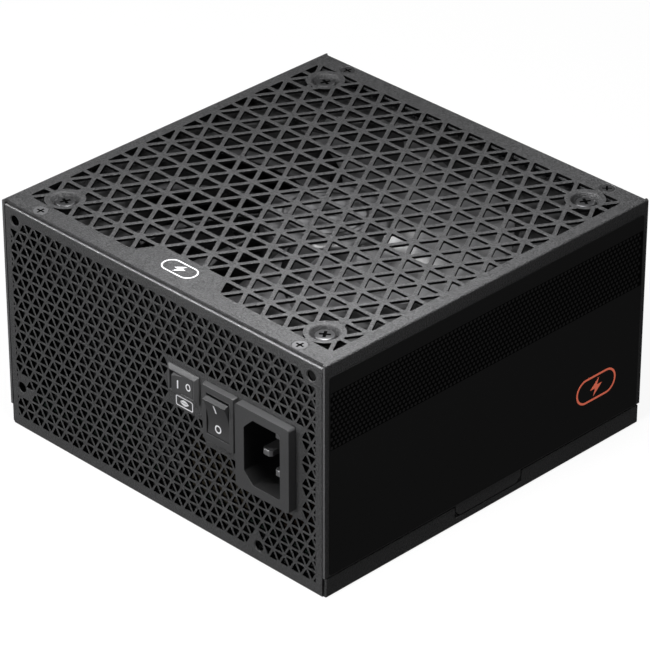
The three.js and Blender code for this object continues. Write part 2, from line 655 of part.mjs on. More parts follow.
function boards() {
  const { x, y } = boardHalf;
  let main = solid(block(-x, x, -y, y, boardTop - boardThick, boardTop));
  let barrier = solid(block(-x, x, -y, y, 1.3, 1.6));
  for (const [sx, sy] of standoffs) {
    main = main.subtract(solid(bar(sx, sy, 0, 20, 1.6, 1.6, 8)));
    barrier = barrier.subtract(solid(bar(sx, sy, 0, 20, 4.2, 4.2, 8)));
  }
  add("main_board", main, circuitBoard);
  add("insulation_sheet", barrier, clearSheet);
  const carrier = socketBack - gap;
  add("modular_board", block(-67, 67, carrier - boardThick, carrier, onBoard, 56), circuitBoard);
  add("dc_dc_board", block(26, 62, 44, 44 + boardThick, onBoard, 40), circuitBoard);
}

// A heatsink's plan: a plate with fins along one side.
function heatsink(x, y, length, fins, tall) {
  const [plate, reach, fin] = [2.5, 7, 1.2];
  const points = [[x, y], [x + length, y]];
  const step = (length - fin) / (fins - 1);
  for (let i = fins - 1; i >= 0; i -= 1) {
    const left = x + i * step;
    points.push([left + fin, y + plate], [left + fin, y + reach], [left, y + reach], [left, y + plate]);
  }
  const outline = points.filter(([px, py], i) => i < 2 || px !== points[1][0] || py !== y + plate);
  return extruded(polygon(outline), tall).translate(0, 0, onBoard);
}

// A wound ring on its side, its corners rounded by the wire.
function toroid(x, y, innerR, outerR, tall) {
  const soft = 2;
  const top = onBoard + tall;
  return turned(x, y, [
    [innerR, onBoard + soft], [innerR + soft, onBoard], [outerR - soft, onBoard], [outerR, onBoard + soft],
    [outerR, top - soft], [outerR - soft, top], [innerR + soft, top], [innerR, top - soft],
    [innerR, onBoard + soft],
  ], 12);
}

// A transformer: a flat ferrite core round a taped winding.
function transformer(x, y, wide, deep, tall) {
  const top = onBoard + tall;
  const coreHalf = deep * 0.32;
  const windingHalf = wide * 0.33;
  const core = block(x - wide / 2, x + wide / 2, y - coreHalf, y + coreHalf, onBoard + 3, top);
  const winding = block(x - windingHalf, x + windingHalf, y - deep / 2, y + deep / 2, onBoard, top - 4);
  return solid(core).add(solid(winding));
}

function electronics() {
  add("bulk_capacitor_1", bar(-50, -46, onBoard, onBoard + 45, 15, 15, 20), capacitorSleeve);
  add("bulk_capacitor_2", bar(-50, -13, onBoard, onBoard + 45, 15, 15, 20), capacitorSleeve);
  add("main_transformer", transformer(-8, 7, 34, 34, 33), tapeYellow);
  add("standby_transformer", transformer(46, 0, 20, 20, 19), tapeYellow);
  add("pfc_inductor", toroid(-10, -34, 8, 18, 20), copper);
  add("emi_choke_1", toroid(48, -57, 5, 11.5, 13), copper);
  add("emi_choke_2", toroid(52, -30, 5.5, 12.5, 16), copper);
  add("primary_heatsink", heatsink(-58, 8, 28, 5, 36), aluminium);
  add("secondary_heatsink", heatsink(-28, 30, 90, 12, 36), aluminium);
  add("bridge_rectifier", block(22, 26, -50, -22, onBoard, onBoard + 24), blackPlastic);
  add("x_capacitor", block(8, 34, -69, -58, onBoard, onBoard + 17), tapeYellow);
  add("inrush_relay", block(-18, 2, -69, -58, onBoard, onBoard + 18), blackPlastic);
  add("output_capacitor_1", bar(-20, 50, onBoard, onBoard + 22, 5, 5, 12), capacitorSleeve);
  add("output_capacitor_2", bar(-4, 50, onBoard, onBoard + 22, 5, 5, 12), capacitorSleeve);
}

// Printed films and the badge, which lie on the cover's paint

function films() {
  const out = halfWidth + 0.02;
  const film = { y: 73, z0: 8, z1: 81, thick: 0.2 };
  add("side_film_right", block(out, out + film.thick, -film.y, film.y, film.z0, film.z1), printedFilm);
  add("side_film_left", block(-out - film.thick, -out, -film.y, film.y, film.z0, film.z1), printedFilm);
  const badge = new THREE.Shape().absellipse(0, -65.3, 7.15, 3.5, 0, Math.PI * 2);
  add("top_badge", extruded(badge, 0.15, 10).translate(0, 0, caseHeight + 0.02), lightPrint);
}

add("top_cover", topCover(), powderCoat);
add("bottom_tray", bottomTray(), powderCoat);
films();
screws();
fanParts();
inletParts();
rockerSwitch(["power_switch_frame", "power_rocker"], powerSwitch, 0);
rockerSwitch(["eco_switch_frame", "eco_rocker"], ecoSwitch, -Math.PI / 2);
for (const [name, columns, x, z] of sockets) {
  add(name, outputSocket(columns, x, z), blackPlastic);
}
boards();
electronics();

export default group;
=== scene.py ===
import math

import bmesh
import bpy
from mathutils import Matrix, Vector


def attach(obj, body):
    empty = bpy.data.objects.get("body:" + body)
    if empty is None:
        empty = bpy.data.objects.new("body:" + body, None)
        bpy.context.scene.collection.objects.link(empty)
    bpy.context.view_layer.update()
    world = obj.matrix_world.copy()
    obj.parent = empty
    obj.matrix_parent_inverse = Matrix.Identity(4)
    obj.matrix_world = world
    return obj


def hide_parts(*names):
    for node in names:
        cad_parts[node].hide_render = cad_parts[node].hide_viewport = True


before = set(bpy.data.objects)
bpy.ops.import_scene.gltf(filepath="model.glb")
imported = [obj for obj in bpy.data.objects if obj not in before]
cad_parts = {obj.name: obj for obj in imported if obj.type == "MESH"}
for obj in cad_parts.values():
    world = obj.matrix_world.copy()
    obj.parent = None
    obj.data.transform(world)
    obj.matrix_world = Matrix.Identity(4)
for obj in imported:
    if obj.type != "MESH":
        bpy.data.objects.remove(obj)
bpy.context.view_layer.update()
scene = bpy.context.scene
scene.view_settings.view_transform = "Standard"
print("frame loaded")

# Everything below is drawn in millimetres and scaled to metres as each piece is settled.
millimetre = 0.001
quarterTurn = math.pi / 2
sliver = 0.0005  # edges shorter than this are closed up


# small tools for solids
def newObject(name, mesh):
    piece = bpy.data.objects.new(name, mesh)
    scene.collection.objects.link(piece)
    return piece


def fromBmesh(name, bm):
    bmesh.ops.recalc_face_normals(bm, faces=bm.faces)
    mesh = bpy.data.meshes.new(name)
    bm.to_mesh(mesh)
    bm.free()
    return newObject(name, mesh)


def discard(*pieces):
    for piece in pieces:
        mesh = piece.data
        bpy.data.objects.remove(piece)
        bpy.data.meshes.remove(mesh)


def applied(piece):
    # turns the modifiers' result into the piece's own plain mesh
    graph = bpy.context.evaluated_depsgraph_get()
    graph.update()
    mesh = bpy.data.meshes.new_from_object(piece.evaluated_get(graph), depsgraph=graph)
    old = piece.data
    piece.modifiers.clear()
    piece.data = mesh
    bpy.data.meshes.remove(old)
    return piece


# an outline is drawn in X and Y and pulled up Z; these stand it on another plane
planes = {
    "XY": Matrix.Identity(4),
    "XZ": Matrix(((1, 0, 0, 0), (0, 0, -1, 0), (0, 1, 0, 0), (0, 0, 0, 1))),
    "YZ": Matrix(((0, 0, 1, 0), (1, 0, 0, 0), (0, 1, 0, 0), (0, 0, 0, 1))),
}


def loft(name, rings, plane="XY"):
    # a closed solid through rings of equal count, with a face on the first and the last
    bm = bmesh.new()
    rings = [[bm.verts.new(point) for point in ring] for ring in rings]
    bm.faces.new(rings[0][::-1])
    bm.faces.new(rings[-1])
    for lower, upper in zip(rings, rings[1:]):
        for i, corner in enumerate(lower):
            after = (i + 1) % len(lower)
            bm.faces.new((corner, lower[after], upper[after], upper[i]))
    bm.transform(planes[plane])
    return fromBmesh(name, bm)


def prism(name, outline, low, high, plane="XY"):
    # in plane XZ, low and high run towards -Y
    return loft(name, [[(a, b, height) for a, b in outline] for height in (low, high)], plane)


def block(name, low, high):
    outline = [(low[0], low[1]), (high[0], low[1]), (high[0], high[1]), (low[0], high[1])]
    return prism(name, outline, low[2], high[2])


def lathe(name, profile, sides=48, centre=(0, 0)):
    # a [radius, height] profile turned about Z; a zero radius closes on the axis
    bm = bmesh.new()
    rings = []
    for radius, height in profile:
        around = ellipse(*centre, radius, radius, sides) if radius else [centre]
        rings.append([bm.verts.new((x, y, height)) for x, y in around])
    closed = profile[0][0] > 0 and profile[-1][0] > 0
    pairs = list(zip(rings, rings[1:])) + ([(rings[-1], rings[0])] if closed else [])
    for lower, upper in pairs:
        for k in range(sides):
            places = ((lower, k), (lower, k + 1), (upper, k + 1), (upper, k))
            corners = [ring[at % len(ring)] for ring, at in places]
            bm.faces.new([v for i, v in enumerate(corners) if v not in corners[:i]])
    return fromBmesh(name, bm)


def rod(name, radius, low, high, sides, centre=(0, 0)):
    return lathe(name, [(0, low), (radius, low), (radius, high), (0, high)], sides, centre)


def combine(target, cutter, operation="DIFFERENCE"):
    modifier = target.modifiers.new("join", "BOOLEAN")
    modifier.operation = operation
    modifier.solver = "MANIFOLD"
    modifier.object = cutter
    applied(target)
    discard(cutter)
    return target


def softened(piece, width, segments=2, angle=35):
    modifier = piece.modifiers.new("soften", "BEVEL")
    modifier.width = width
    modifier.segments = segments
    modifier.limit_method = "ANGLE"
    modifier.angle_limit = math.radians(angle)
    modifier.harden_normals = False
    return applied(piece)


def merged(name, pieces):
    # several closed bodies in one mesh
    bm = bmesh.new()
    for piece in pieces:
        bm.from_mesh(piece.data)
    mesh = bpy.data.meshes.new(name)
    bm.to_mesh(mesh)
    bm.free()
    discard(*pieces)
    return newObject(name, mesh)


def rounded(points, radius, steps=4):
    # the outline with an arc at each corner; radius is one number or one for each corner
    radii = radius if isinstance(radius, (list, tuple)) else [radius] * len(points)
    outline = []
    count = len(points)
    for i, corner in enumerate(points):
        here = Vector(corner)
        before = (Vector(points[i - 1]) - here).normalized()
        after = (Vector(points[(i + 1) % count]) - here).normalized()
        if radii[i] <= 0:
            outline.append(tuple(here))
            continue
        half = math.acos(max(-1, min(1, before.dot(after)))) / 2
        centre = here + (before + after).normalized() * (radii[i] / math.sin(half))
        start = here + before * (radii[i] / math.tan(half)) - centre
        end = here + after * (radii[i] / math.tan(half)) - centre
        sweep = math.atan2(start.x * end.y - start.y * end.x, start.dot(end))
        for k in range(steps + 1):
            arm = start.copy()
            arm.rotate(Matrix.Rotation(sweep * k / steps, 2))
            outline.append(tuple(centre + arm))
    return outline


def rectangle(x0, x1, y0, y1, radius=0, steps=4):
    return rounded([(x0, y0), (x1, y0), (x1, y1), (x0, y1)], radius, steps)


def centred(x, y, wide, tall, radius=0, steps=4):
    return rectangle(x - wide / 2, x + wide / 2, y - tall / 2, y + tall / 2, radius, steps)


def ellipse(cx, cy, rx, ry, steps=48):
    turns = [2 * math.pi * k / steps for k in range(steps)]
    return [(cx + rx * math.cos(turn), cy + ry * math.sin(turn)) for turn in turns]


def span(side, near, far):
    # two distances from the middle as coordinates on that side, the lower one first
    return sorted((side * near, side * far))


def numbered(stem, first, last):
    return [f"{stem}_{i}" for i in range(first, last + 1)]


# finishes that a piece can carry beside its own, picked out face by face with markFaces: painted shade in holes,
# recesses and the inlet's mouth, and a painted highlight on folded edges
markedFinishes = ["paintedShade", "paintedEdgeHighlight", "paintedShadeMoulding"]


def markFaces(piece, tests):
    # tests map a marked finish to a choice by a face's centre and normal; the first that holds counts
    layer = piece.data.attributes.new("marked", "INT", "FACE")
    for face in piece.data.polygons:
        for name, chosen in tests.items():
            if chosen(face.center, face.normal):
                layer.data[face.index].value = markedFinishes.index(name) + 1
                break


def settled(piece, material, body, replaced=(), sharpAbove=35):
    # scales to metres, shades, dresses and mounts a finished piece
    piece.data.transform(Matrix.Scale(millimetre, 4))
    bm = bmesh.new()
    bm.from_mesh(piece.data)
    bmesh.ops.dissolve_degenerate(bm, dist=sliver * millimetre, edges=bm.edges)
    limit = math.radians(sharpAbove)
    for face in bm.faces:
        face.smooth = True
    for edge in bm.edges:
        edge.smooth = len(edge.link_faces) == 2 and edge.calc_face_angle(0) < limit
    bm.to_mesh(piece.data)
    bm.free()
    weighted = piece.modifiers.new("weighted", "WEIGHTED_NORMAL")
    weighted.keep_sharp = True
    weighted.weight = 100
    applied(piece)
    piece.data.materials.clear()
    piece.data.materials.append(material)
    marked = piece.data.attributes.get("marked")
    if marked:
        values = [item.value for item in marked.data]
        used = sorted(set(values) - {0})
        for value in used:
            piece.data.materials.append(finishes[markedFinishes[value - 1]])
        for face, value in zip(piece.data.polygons, values):
            face.material_index = used.index(value) + 1 if value else 0
        piece.data.attributes.remove(marked)
    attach(piece, body)
    if replaced:
        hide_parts(*replaced)
    return piece


# geometry node trees

def addNode(tree, kind, feeds=None, **settings):
    # a node given as a feed stands for its first output
    node = tree.nodes.new(kind)
    for key, value in settings.items():
        setattr(node, key, value)
    for key, value in (feeds or {}).items():
        socket = node.inputs[key]
        if isinstance(value, bpy.types.Node):
            value = value.outputs[0]
        if isinstance(value, bpy.types.NodeSocket):
            tree.links.new(value, socket)
        else:
            socket.default_value = value
    return node


def reckon(tree, operation, *values):
    return addNode(tree, "ShaderNodeMath", dict(enumerate(values)), operation=operation)


def newTree(name, inputs, kind="GeometryNodeTree"):
    tree = bpy.data.node_groups.new(name, kind)
    for label, socketType, *value in inputs:
        socket = tree.interface.new_socket(label, in_out="INPUT", socket_type="NodeSocket" + socketType)
        if value:
            socket.default_value = value[0]
    return tree


def grow(piece, tree, values):
    # runs a tree on a piece and keeps its plain result; inputs are set by their identifiers
    modifier = piece.modifiers.new("grow", "NODES")
    modifier.node_group = tree
    for item in tree.interface.items_tree:
        if item.item_type == "SOCKET" and item.in_out == "INPUT" and item.name in values:
            modifier[item.identifier] = values[item.name]
    return applied(piece)


def endTree(tree, geometry, material):
    # every tree ends in real geometry with its material
    tree.interface.new_socket("Geometry", in_out="OUTPUT", socket_type="NodeSocketGeometry")
    real = addNode(tree, "GeometryNodeRealizeInstances", {"Geometry": geometry})
    painted = addNode(tree, "GeometryNodeSetMaterial", {"Geometry": real.outputs[0], "Material": material})
    out = tree.nodes.new("NodeGroupOutput")
    tree.links.new(painted.outputs[0], out.inputs[0])
    return tree


def objectGeometry(tree, socket):
    return addNode(tree, "GeometryNodeObjectInfo", {"Object": socket}).outputs["Geometry"]


def latticePoints(tree, given, up, along):
    # staggered rows of points: up is the step between rows, along turns a length into a vector
    rows = addNode(tree, "GeometryNodeMeshLine", {
        "Count": given["Rows"], "Start Location": given["Start"], "Offset": up})
    odd = reckon(tree, "MODULO", tree.nodes.new("GeometryNodeInputIndex"), 2.0)
    stagger = along(reckon(tree, "MULTIPLY", odd, reckon(tree, "MULTIPLY", given["Pitch"], 0.5)))
    staggered = addNode(tree, "GeometryNodeSetPosition", {"Geometry": rows, "Offset": stagger})
    line = addNode(tree, "GeometryNodeMeshLine", {"Count": given["Columns"], "Offset": along(given["Pitch"])})
    lattice = addNode(tree, "GeometryNodeInstanceOnPoints", {"Points": staggered, "Instance": line})
    return addNode(tree, "GeometryNodeRealizeInstances", {"Geometry": lattice})


def perforationTree():
    # a staggered lattice of triangular cutters, clipped to a window and kept off plain areas
    tree = newTree("perforation", [
        ("Geometry", "Geometry"),
        ("Cutter", "Object"),
        ("Skipped area", "Object"),
        ("Plain area", "Object"),
        ("Window", "Object"),
        ("Rows", "Int", 10),
        ("Columns", "Int", 10),
        ("Pitch", "Float", 10.0),
        ("Row height", "Float", 8.5),
        ("Inner radius", "Float", 2.0),
        ("Clearance", "Float", 1.0),
        ("Start", "Vector", (0.0, 0.0, 0.0)),
        ("Turn", "Vector", (0.0, 0.0, 0.0)),
        ("Shift", "Vector", (0.0, 0.0, 0.0)),
        ("Material", "Material"),
    ])
    given = tree.nodes.new("NodeGroupInput").outputs

    def vector(x, y):
        return addNode(tree, "ShaderNodeCombineXYZ", {0: x, 1: y})

    def boolean(operation, first, second):
        # an intersection takes both of its meshes through the second socket
        node = addNode(tree, "GeometryNodeMeshBoolean", operation=operation, solver="MANIFOLD")
        tree.links.new(first, node.inputs[0 if operation == "DIFFERENCE" else 1])
        tree.links.new(second, node.inputs[1])
        return node.outputs[0]

    pitch, row, inner = given["Pitch"], given["Row height"], given["Inner radius"]
    nodes = latticePoints(tree, given, vector(0.0, row), lambda length: vector(length, 0.0))
    skipped = objectGeometry(tree, given["Skipped area"])
    cutter = objectGeometry(tree, given["Cutter"])
    upright = vector(reckon(tree, "MULTIPLY", pitch, 0.5), inner)
    hanging = vector(pitch, reckon(tree, "SUBTRACT", row, inner))
    both = tree.nodes.new("GeometryNodeJoinGeometry")
    for offset, turn in ((upright, 0.0), (hanging, math.pi)):
        centres = addNode(tree, "GeometryNodeSetPosition", {"Geometry": nodes, "Offset": offset})
        near = addNode(tree, "GeometryNodeProximity", {"Geometry": skipped}, target_element="FACES")
        tooNear = addNode(tree, "FunctionNodeCompare", {0: near.outputs["Distance"], 1: given["Clearance"]},
                          data_type="FLOAT", operation="LESS_THAN")
        kept = addNode(tree, "GeometryNodeDeleteGeometry", {"Geometry": centres, "Selection": tooNear})
        cutters = addNode(tree, "GeometryNodeInstanceOnPoints", {
            "Points": kept, "Instance": cutter, "Rotation": (0.0, 0.0, turn)})
        tree.links.new(cutters.outputs[0], both.inputs[0])
    real = addNode(tree, "GeometryNodeRealizeInstances", {"Geometry": both}).outputs[0]
    inside = boolean("INTERSECT", real, objectGeometry(tree, given["Window"]))
    clear = boolean("DIFFERENCE", inside, objectGeometry(tree, given["Plain area"]))
    placed = addNode(tree, "GeometryNodeTransform", {
        "Geometry": clear, "Translation": given["Shift"], "Rotation": given["Turn"]})
    cut = boolean("DIFFERENCE", given["Geometry"], placed.outputs[0])
    return endTree(tree, cut, given["Material"])


def scatterTree():
    # one small shape on every point of a mesh, for screws, pins and socket cells
    tree = newTree("scatter", [
        ("Geometry", "Geometry"),
        ("Shape", "Object"),
        ("Turn spread", "Float", 0.0),
        ("Seed", "Int", 1),
        ("Material", "Material"),
    ])
    given = tree.nodes.new("NodeGroupInput").outputs
    angle = addNode(tree, "FunctionNodeRandomValue", {2: 0.0, 3: given["Turn spread"], "Seed": given["Seed"]},
                    data_type="FLOAT").outputs[1]
    turn = addNode(tree, "ShaderNodeCombineXYZ", {2: angle})
    spread = addNode(tree, "GeometryNodeInstanceOnPoints", {
        "Points": given["Geometry"], "Instance": objectGeometry(tree, given["Shape"]), "Rotation": turn})
    return endTree(tree, spread, given["Material"])


def dotGridTree():
    # a staggered grid of flat dots that fills a rectangle
    tree = newTree("dot grid", [
        ("Geometry", "Geometry"),
        ("Rows", "Int", 10),
        ("Columns", "Int", 10),
        ("Pitch", "Float", 1.8),
        ("Row height", "Float", 1.6),
        ("Start", "Vector", (0.0, 0.0, 0.0)),
        ("Along", "Vector", (0.0, 1.0, 0.0)),
        ("Shape", "Object"),
        ("Material", "Material"),
    ])
    given = tree.nodes.new("NodeGroupInput").outputs

    def along(length):
        return addNode(tree, "ShaderNodeVectorMath", {0: given["Along"], 3: length}, operation="SCALE")

    up = addNode(tree, "ShaderNodeCombineXYZ", {2: given["Row height"]})
    dots = addNode(tree, "GeometryNodeInstanceOnPoints", {
        "Points": latticePoints(tree, given, up, along), "Instance": objectGeometry(tree, given["Shape"])})
    return endTree(tree, dots, given["Material"])


def spokesTree():
    # copies of one shape turned evenly about Z, joined to what is already there
    tree = newTree("spokes", [
        ("Geometry", "Geometry"),
        ("Shape", "Object"),
        ("Count", "Int", 11),
        ("First angle", "Float", 0.0),
        ("Material", "Material"),
    ])
    given = tree.nodes.new("NodeGroupInput").outputs
    points = addNode(tree, "GeometryNodeMeshLine", {"Count": given["Count"], "Offset": (0.0, 0.0, 0.0)})
    step = reckon(tree, "DIVIDE", 2 * math.pi, given["Count"])
    index = tree.nodes.new("GeometryNodeInputIndex")
    angle = reckon(tree, "MULTIPLY_ADD", index, step, given["First angle"])
    turn = addNode(tree, "ShaderNodeCombineXYZ", {2: angle})
    spokes = addNode(tree, "GeometryNodeInstanceOnPoints", {
        "Points": points, "Instance": objectGeometry(tree, given["Shape"]), "Rotation": turn})
    both = tree.nodes.new("GeometryNodeJoinGeometry")
    tree.links.new(spokes.outputs[0], both.inputs[0])
    tree.links.new(given["Geometry"], both.inputs[0])
    return endTree(tree, both, given["Material"])


trees = {
    "perforation": perforationTree(),
    "scatter": scatterTree(),
    "dots": dotGridTree(),
    "spokes": spokesTree(),
}


# finishes

def grainGroup():
    # fine moulded or sprayed grain: a height for the bump and a slow drift for colour and gloss
    tree = newTree("surface grain", [
        ("Grain size", "Float", 0.3),
        ("Detail", "Float", 3.0),
    ], "ShaderNodeTree")
    given = tree.nodes.new("NodeGroupInput").outputs
    place = tree.nodes.new("ShaderNodeTexCoord").outputs["Object"]
    scale = reckon(tree, "DIVIDE", 1000.0, given["Grain size"])
    fine = addNode(tree, "ShaderNodeTexNoise", {
        "Vector": place, "Scale": scale, "Detail": given["Detail"], "Roughness": 0.55})
    broad = addNode(tree, "ShaderNodeTexNoise", {"Vector": place, "Scale": 38.0, "Detail": 4.0, "Roughness": 0.6})
    out = tree.nodes.new("NodeGroupOutput")
    for label, source in (("Height", fine), ("Drift", broad)):
        tree.interface.new_socket(label, in_out="OUTPUT", socket_type="NodeSocketFloat")
        tree.links.new(source.outputs[0], out.inputs[label])
    return tree


grainTree = grainGroup()
finishes = {}


def grey(level):
    return (level, level, level * 1.03)


def finish(name, dark, light, roughness, grain=0.3, bump=0.1, metallic=0.0, coat=0.0, specular=0.5,
           glow=None, speckle=0.0):
    # dark and light, each a grey level or a colour, end the slow colour drift;
    # speckle is how far the fine grain moves the colour
    dark, light = (grey(end) if isinstance(end, float) else end for end in (dark, light))
    material = bpy.data.materials.new(name)
    material.use_nodes = True
    tree = material.node_tree
    shader = tree.nodes["Principled BSDF"]
    shader.inputs["Metallic"].default_value = metallic
    shader.inputs["Coat Weight"].default_value = coat
    shader.inputs["Specular IOR Level"].default_value = specular
    surface = tree.nodes.new("ShaderNodeGroup")
    surface.node_tree = grainTree
    surface.inputs["Grain size"].default_value = grain
    drift = addNode(tree, "ShaderNodeMapRange", {
        "Value": surface.outputs["Drift"], "From Min": 0.35, "From Max": 0.65})
    mixed = addNode(tree, "ShaderNodeMix", {"Factor": drift, 6: (*dark, 1), 7: (*light, 1)}, data_type="RGBA")
    paint = mixed.outputs[2]
    if speckle:
        level = addNode(tree, "ShaderNodeMapRange", {
            "Value": surface.outputs["Height"], "From Min": 0.3, "From Max": 0.7,
            "To Min": 1 - speckle, "To Max": 1 + speckle})
        flecked = addNode(tree, "ShaderNodeMix", {"Factor": 1.0, 6: paint, 7: level},
                          data_type="RGBA", blend_type="MULTIPLY")
        paint = flecked.outputs[2]
    tree.links.new(paint, shader.inputs["Base Color"])
    gloss = addNode(tree, "ShaderNodeMapRange", {
        "Value": surface.outputs["Drift"], "To Min": roughness - 0.05, "To Max": roughness + 0.05})
    tree.links.new(gloss.outputs[0], shader.inputs["Roughness"])
    relief = addNode(tree, "ShaderNodeBump", {
        "Height": surface.outputs["Height"], "Strength": bump, "Distance": grain * millimetre})
    tree.links.new(relief.outputs[0], shader.inputs["Normal"])
    # glow is painted light: the surface emits light though it is no lamp
    if glow:
        shader.inputs["Emission Color"].default_value = (*glow, 1)
        shader.inputs["Emission Strength"].default_value = 1.0
    finishes[name] = material


finish("powderCoat", 0.040, 0.044, 0.44, grain=0.6, bump=0.9, speckle=0.7)
# painted highlight: a lighter, glossier coat on folds and cut edges, standing in for the light they catch
finish("paintedEdgeHighlight", 0.085, 0.095, 0.24, grain=0.6, bump=0.2, speckle=0.2)
# painted shade: near-black with no gloss, for hole walls and screw recesses where shade falls
finish("paintedShade", 0.002, 0.003, 0.8, grain=0.4, bump=0.05, specular=0.0)
finish("film", 0.0055, 0.0065, 0.45, grain=0.9, bump=0.03, specular=0.25)
finish("bandGround", 0.0006, 0.0008, 0.7, grain=0.9, bump=0.03, specular=0.05)
finish("bandDots", 0.010, 0.012, 0.5, grain=0.9, bump=0.03, specular=0.3)
finish("whitePrint", 0.72, 0.78, 0.5, grain=0.2, bump=0.05)
# painted light: the orange print also glows, though it is no lamp
finish("orangePrint", (0.66, 0.13, 0.06), (0.76, 0.16, 0.08), 0.5, grain=0.2, bump=0.05,
       glow=(0.36, 0.075, 0.045))
finish("darkPrint", 0.02, 0.025, 0.5, grain=0.2, bump=0.05)
finish("moulded", 0.046, 0.050, 0.42, grain=0.4, bump=0.25, speckle=0.08)
# painted shade: a dark copy of the moulding for the inside of the inlet's mouth
finish("paintedShadeMoulding", 0.010, 0.012, 0.5, grain=0.4, bump=0.1, specular=0.3)
finish("rocker", 0.040, 0.046, 0.38, grain=0.35, bump=0.12)
finish("ecoRocker", 0.055, 0.060, 0.4, grain=0.35, bump=0.12)
finish("bezel", 0.060, 0.066, 0.38, grain=0.35, bump=0.15)
finish("socket", 0.018, 0.022, 0.45, grain=0.35, bump=0.2)
finish("fanFrame", 0.012, 0.015, 0.5, grain=0.5, bump=0.2)
finish("fanBlade", 0.062, 0.072, 0.34, grain=0.7, bump=0.08)
finish("hubLabel", 0.10, 0.12, 0.4, grain=0.4, bump=0.05)
finish("nickel", 0.30, 0.36, 0.32, grain=0.12, bump=0.08, metallic=0.8)
finish("zinc", 0.12, 0.15, 0.4, grain=0.2, bump=0.12, metallic=0.4)
# painted shade: a darker copy of zinc for the fan screws sunk in the dimples
finish("sunkZincPaintedShade", 0.09, 0.11, 0.4, grain=0.2, bump=0.12, metallic=0.85)
# painted shade: a darker copy of zinc for the rear cover screws, where less light falls
finish("blackSteel", 0.035, 0.045, 0.4, grain=0.2, bump=0.12, metallic=0.4)
finish("board", (0.004, 0.012, 0.007), (0.005, 0.015, 0.009), 0.42, grain=1.2, bump=0.1, coat=0.2)
finish("sheet", 0.10, 0.12, 0.4, grain=1.5, bump=0.05)
finish("aluminium", 0.25, 0.30, 0.38, grain=0.2, bump=0.2, metallic=1.0)
# painted shade: copper darkened far below its own colour for the dim inside of the case
finish("copperPaintedShade", (0.020, 0.012, 0.008), (0.027, 0.016, 0.010), 0.4, grain=0.8, bump=0.6, metallic=0.8)
finish("ferrite", 0.02, 0.03, 0.6, grain=0.3, bump=0.3)
finish("bronze", (0.32, 0.19, 0.07), (0.36, 0.22, 0.09), 0.5, grain=0.2, bump=0.2, metallic=0.9)
# painted shade: yellow tape darkened far below its own colour for the dim inside of the case
finish("tapePaintedShade", (0.022, 0.017, 0.008), (0.028, 0.021, 0.010), 0.4, grain=0.8, bump=0.15)
finish("sleeve", 0.010, 0.014, 0.3, grain=0.8, bump=0.05)
print("finishes made")


# sheet metal

case = {
    "half": 75.0, "height": 86.0, "sheet": 1.0, "bend": 0.75, "bendSteps": 8,
    "wallFoot": 7.5, "tabLow": 3.2, "tabStart": -15.0, "tabEnd": 16.0, "tabChamfer": 2.0,
    "panelHalf": 73.7, "panelTop": 84.7, "lip": 7.5, "flangeTop": 7.0,
    "edge": 0.18, "plateInset": 0.8, "trayBend": 0.6,
}


def foldedStrip(corners, sheet, bend, steps):
    # the section of a folded strip; corners are on its outer face and every fold turns left
    outer, inner = [], []
    points = [Vector(c) for c in corners]

    def left(d):
        return Vector((-d.y, d.x))

    for i, corner in enumerate(points):
        if i in (0, len(points) - 1):
            along = (points[1] - corner) if i == 0 else (corner - points[i - 1])
            outer.append(tuple(corner))
            inner.append(tuple(corner + left(along.normalized()) * sheet))
            continue
        into = (corner - points[i - 1]).normalized()
        if bend <= sheet:
            inner.append(tuple(corner - into * sheet + left(into) * sheet))
        centre = corner - into * bend + left(into) * bend
        for k in range(steps + 1):
            arm = -left(into)
            arm.rotate(Matrix.Rotation(quarterTurn * k / steps, 2))
            outer.append(tuple(centre + arm * bend))
            if bend > sheet:
                inner.append(tuple(centre + arm * (bend - sheet)))
    return outer + inner[::-1]


def fourCorners(x, y):
    return [(sx * x, sy * y) for sx, sy in ((-1, -1), (1, -1), (1, 1), (-1, 1))]


def triangleOutline(pitch, row, rib, soft, steps):
    # one hole of the lattice about its inner circle's centre: the cell's triangle less half a rib
    side = math.hypot(pitch / 2, row)
    inner = pitch * row / (pitch + 2 * side)
    share = (inner - rib / 2) / inner
    points = [(-pitch / 2, -inner), (pitch / 2, -inner), (0, row - inner)]
    return rounded([(a * share, b * share) for a, b in points], soft, steps), inner


def latticeCutter(spec):
    # a prism that flares where it meets the sheet's outer face
    flare, soft, steps = spec["flare"], spec["soft"], spec["softSteps"]
    straight, inner = triangleOutline(spec["pitch"], spec["row"], spec["rib"], soft, steps)
    wide, _ = triangleOutline(spec["pitch"], spec["row"], spec["rib"] - 2 * flare, soft + flare, steps)
    levels = ((straight, -2.5), (straight, -flare), (wide, 0.01), (wide, 0.6))
    rings = [[(a, b, height) for a, b in outline] for outline, height in levels]
    return loft("latticeCutter", rings), inner


def flatAreas(name, rectangles, circles=()):
    # flat faces in the panel's own plane, for holes to keep away from
    bm = bmesh.new()
    for x0, x1, y0, y1 in rectangles:
        bm.faces.new([bm.verts.new((x, y, 0)) for x, y in ((x0, y0), (x1, y0), (x1, y1), (x0, y1))])
    for x, y, radius in circles:
        bm.faces.new([bm.verts.new((a, b, 0)) for a, b in ellipse(x, y, radius, radius, 24)])
    return fromBmesh(name, bm)


def perforate(plate, spec, skipped, plain, turn, shift, material):
    cutter, inner = latticeCutter(spec)
    x0, x1, y0, y1 = spec["window"]
    window = block("window", (x0, y0, -5), (x1, y1, 5))
    grow(plate, trees["perforation"], {
        "Cutter": cutter, "Skipped area": skipped, "Plain area": plain, "Window": window,
        "Rows": spec["rows"], "Columns": spec["columns"], "Pitch": spec["pitch"], "Row height": spec["row"],
        "Inner radius": inner, "Clearance": spec["clearance"], "Start": spec["start"],
        "Turn": turn, "Shift": shift, "Material": material,
    })
    discard(cutter, window, skipped, plain)
    return plate


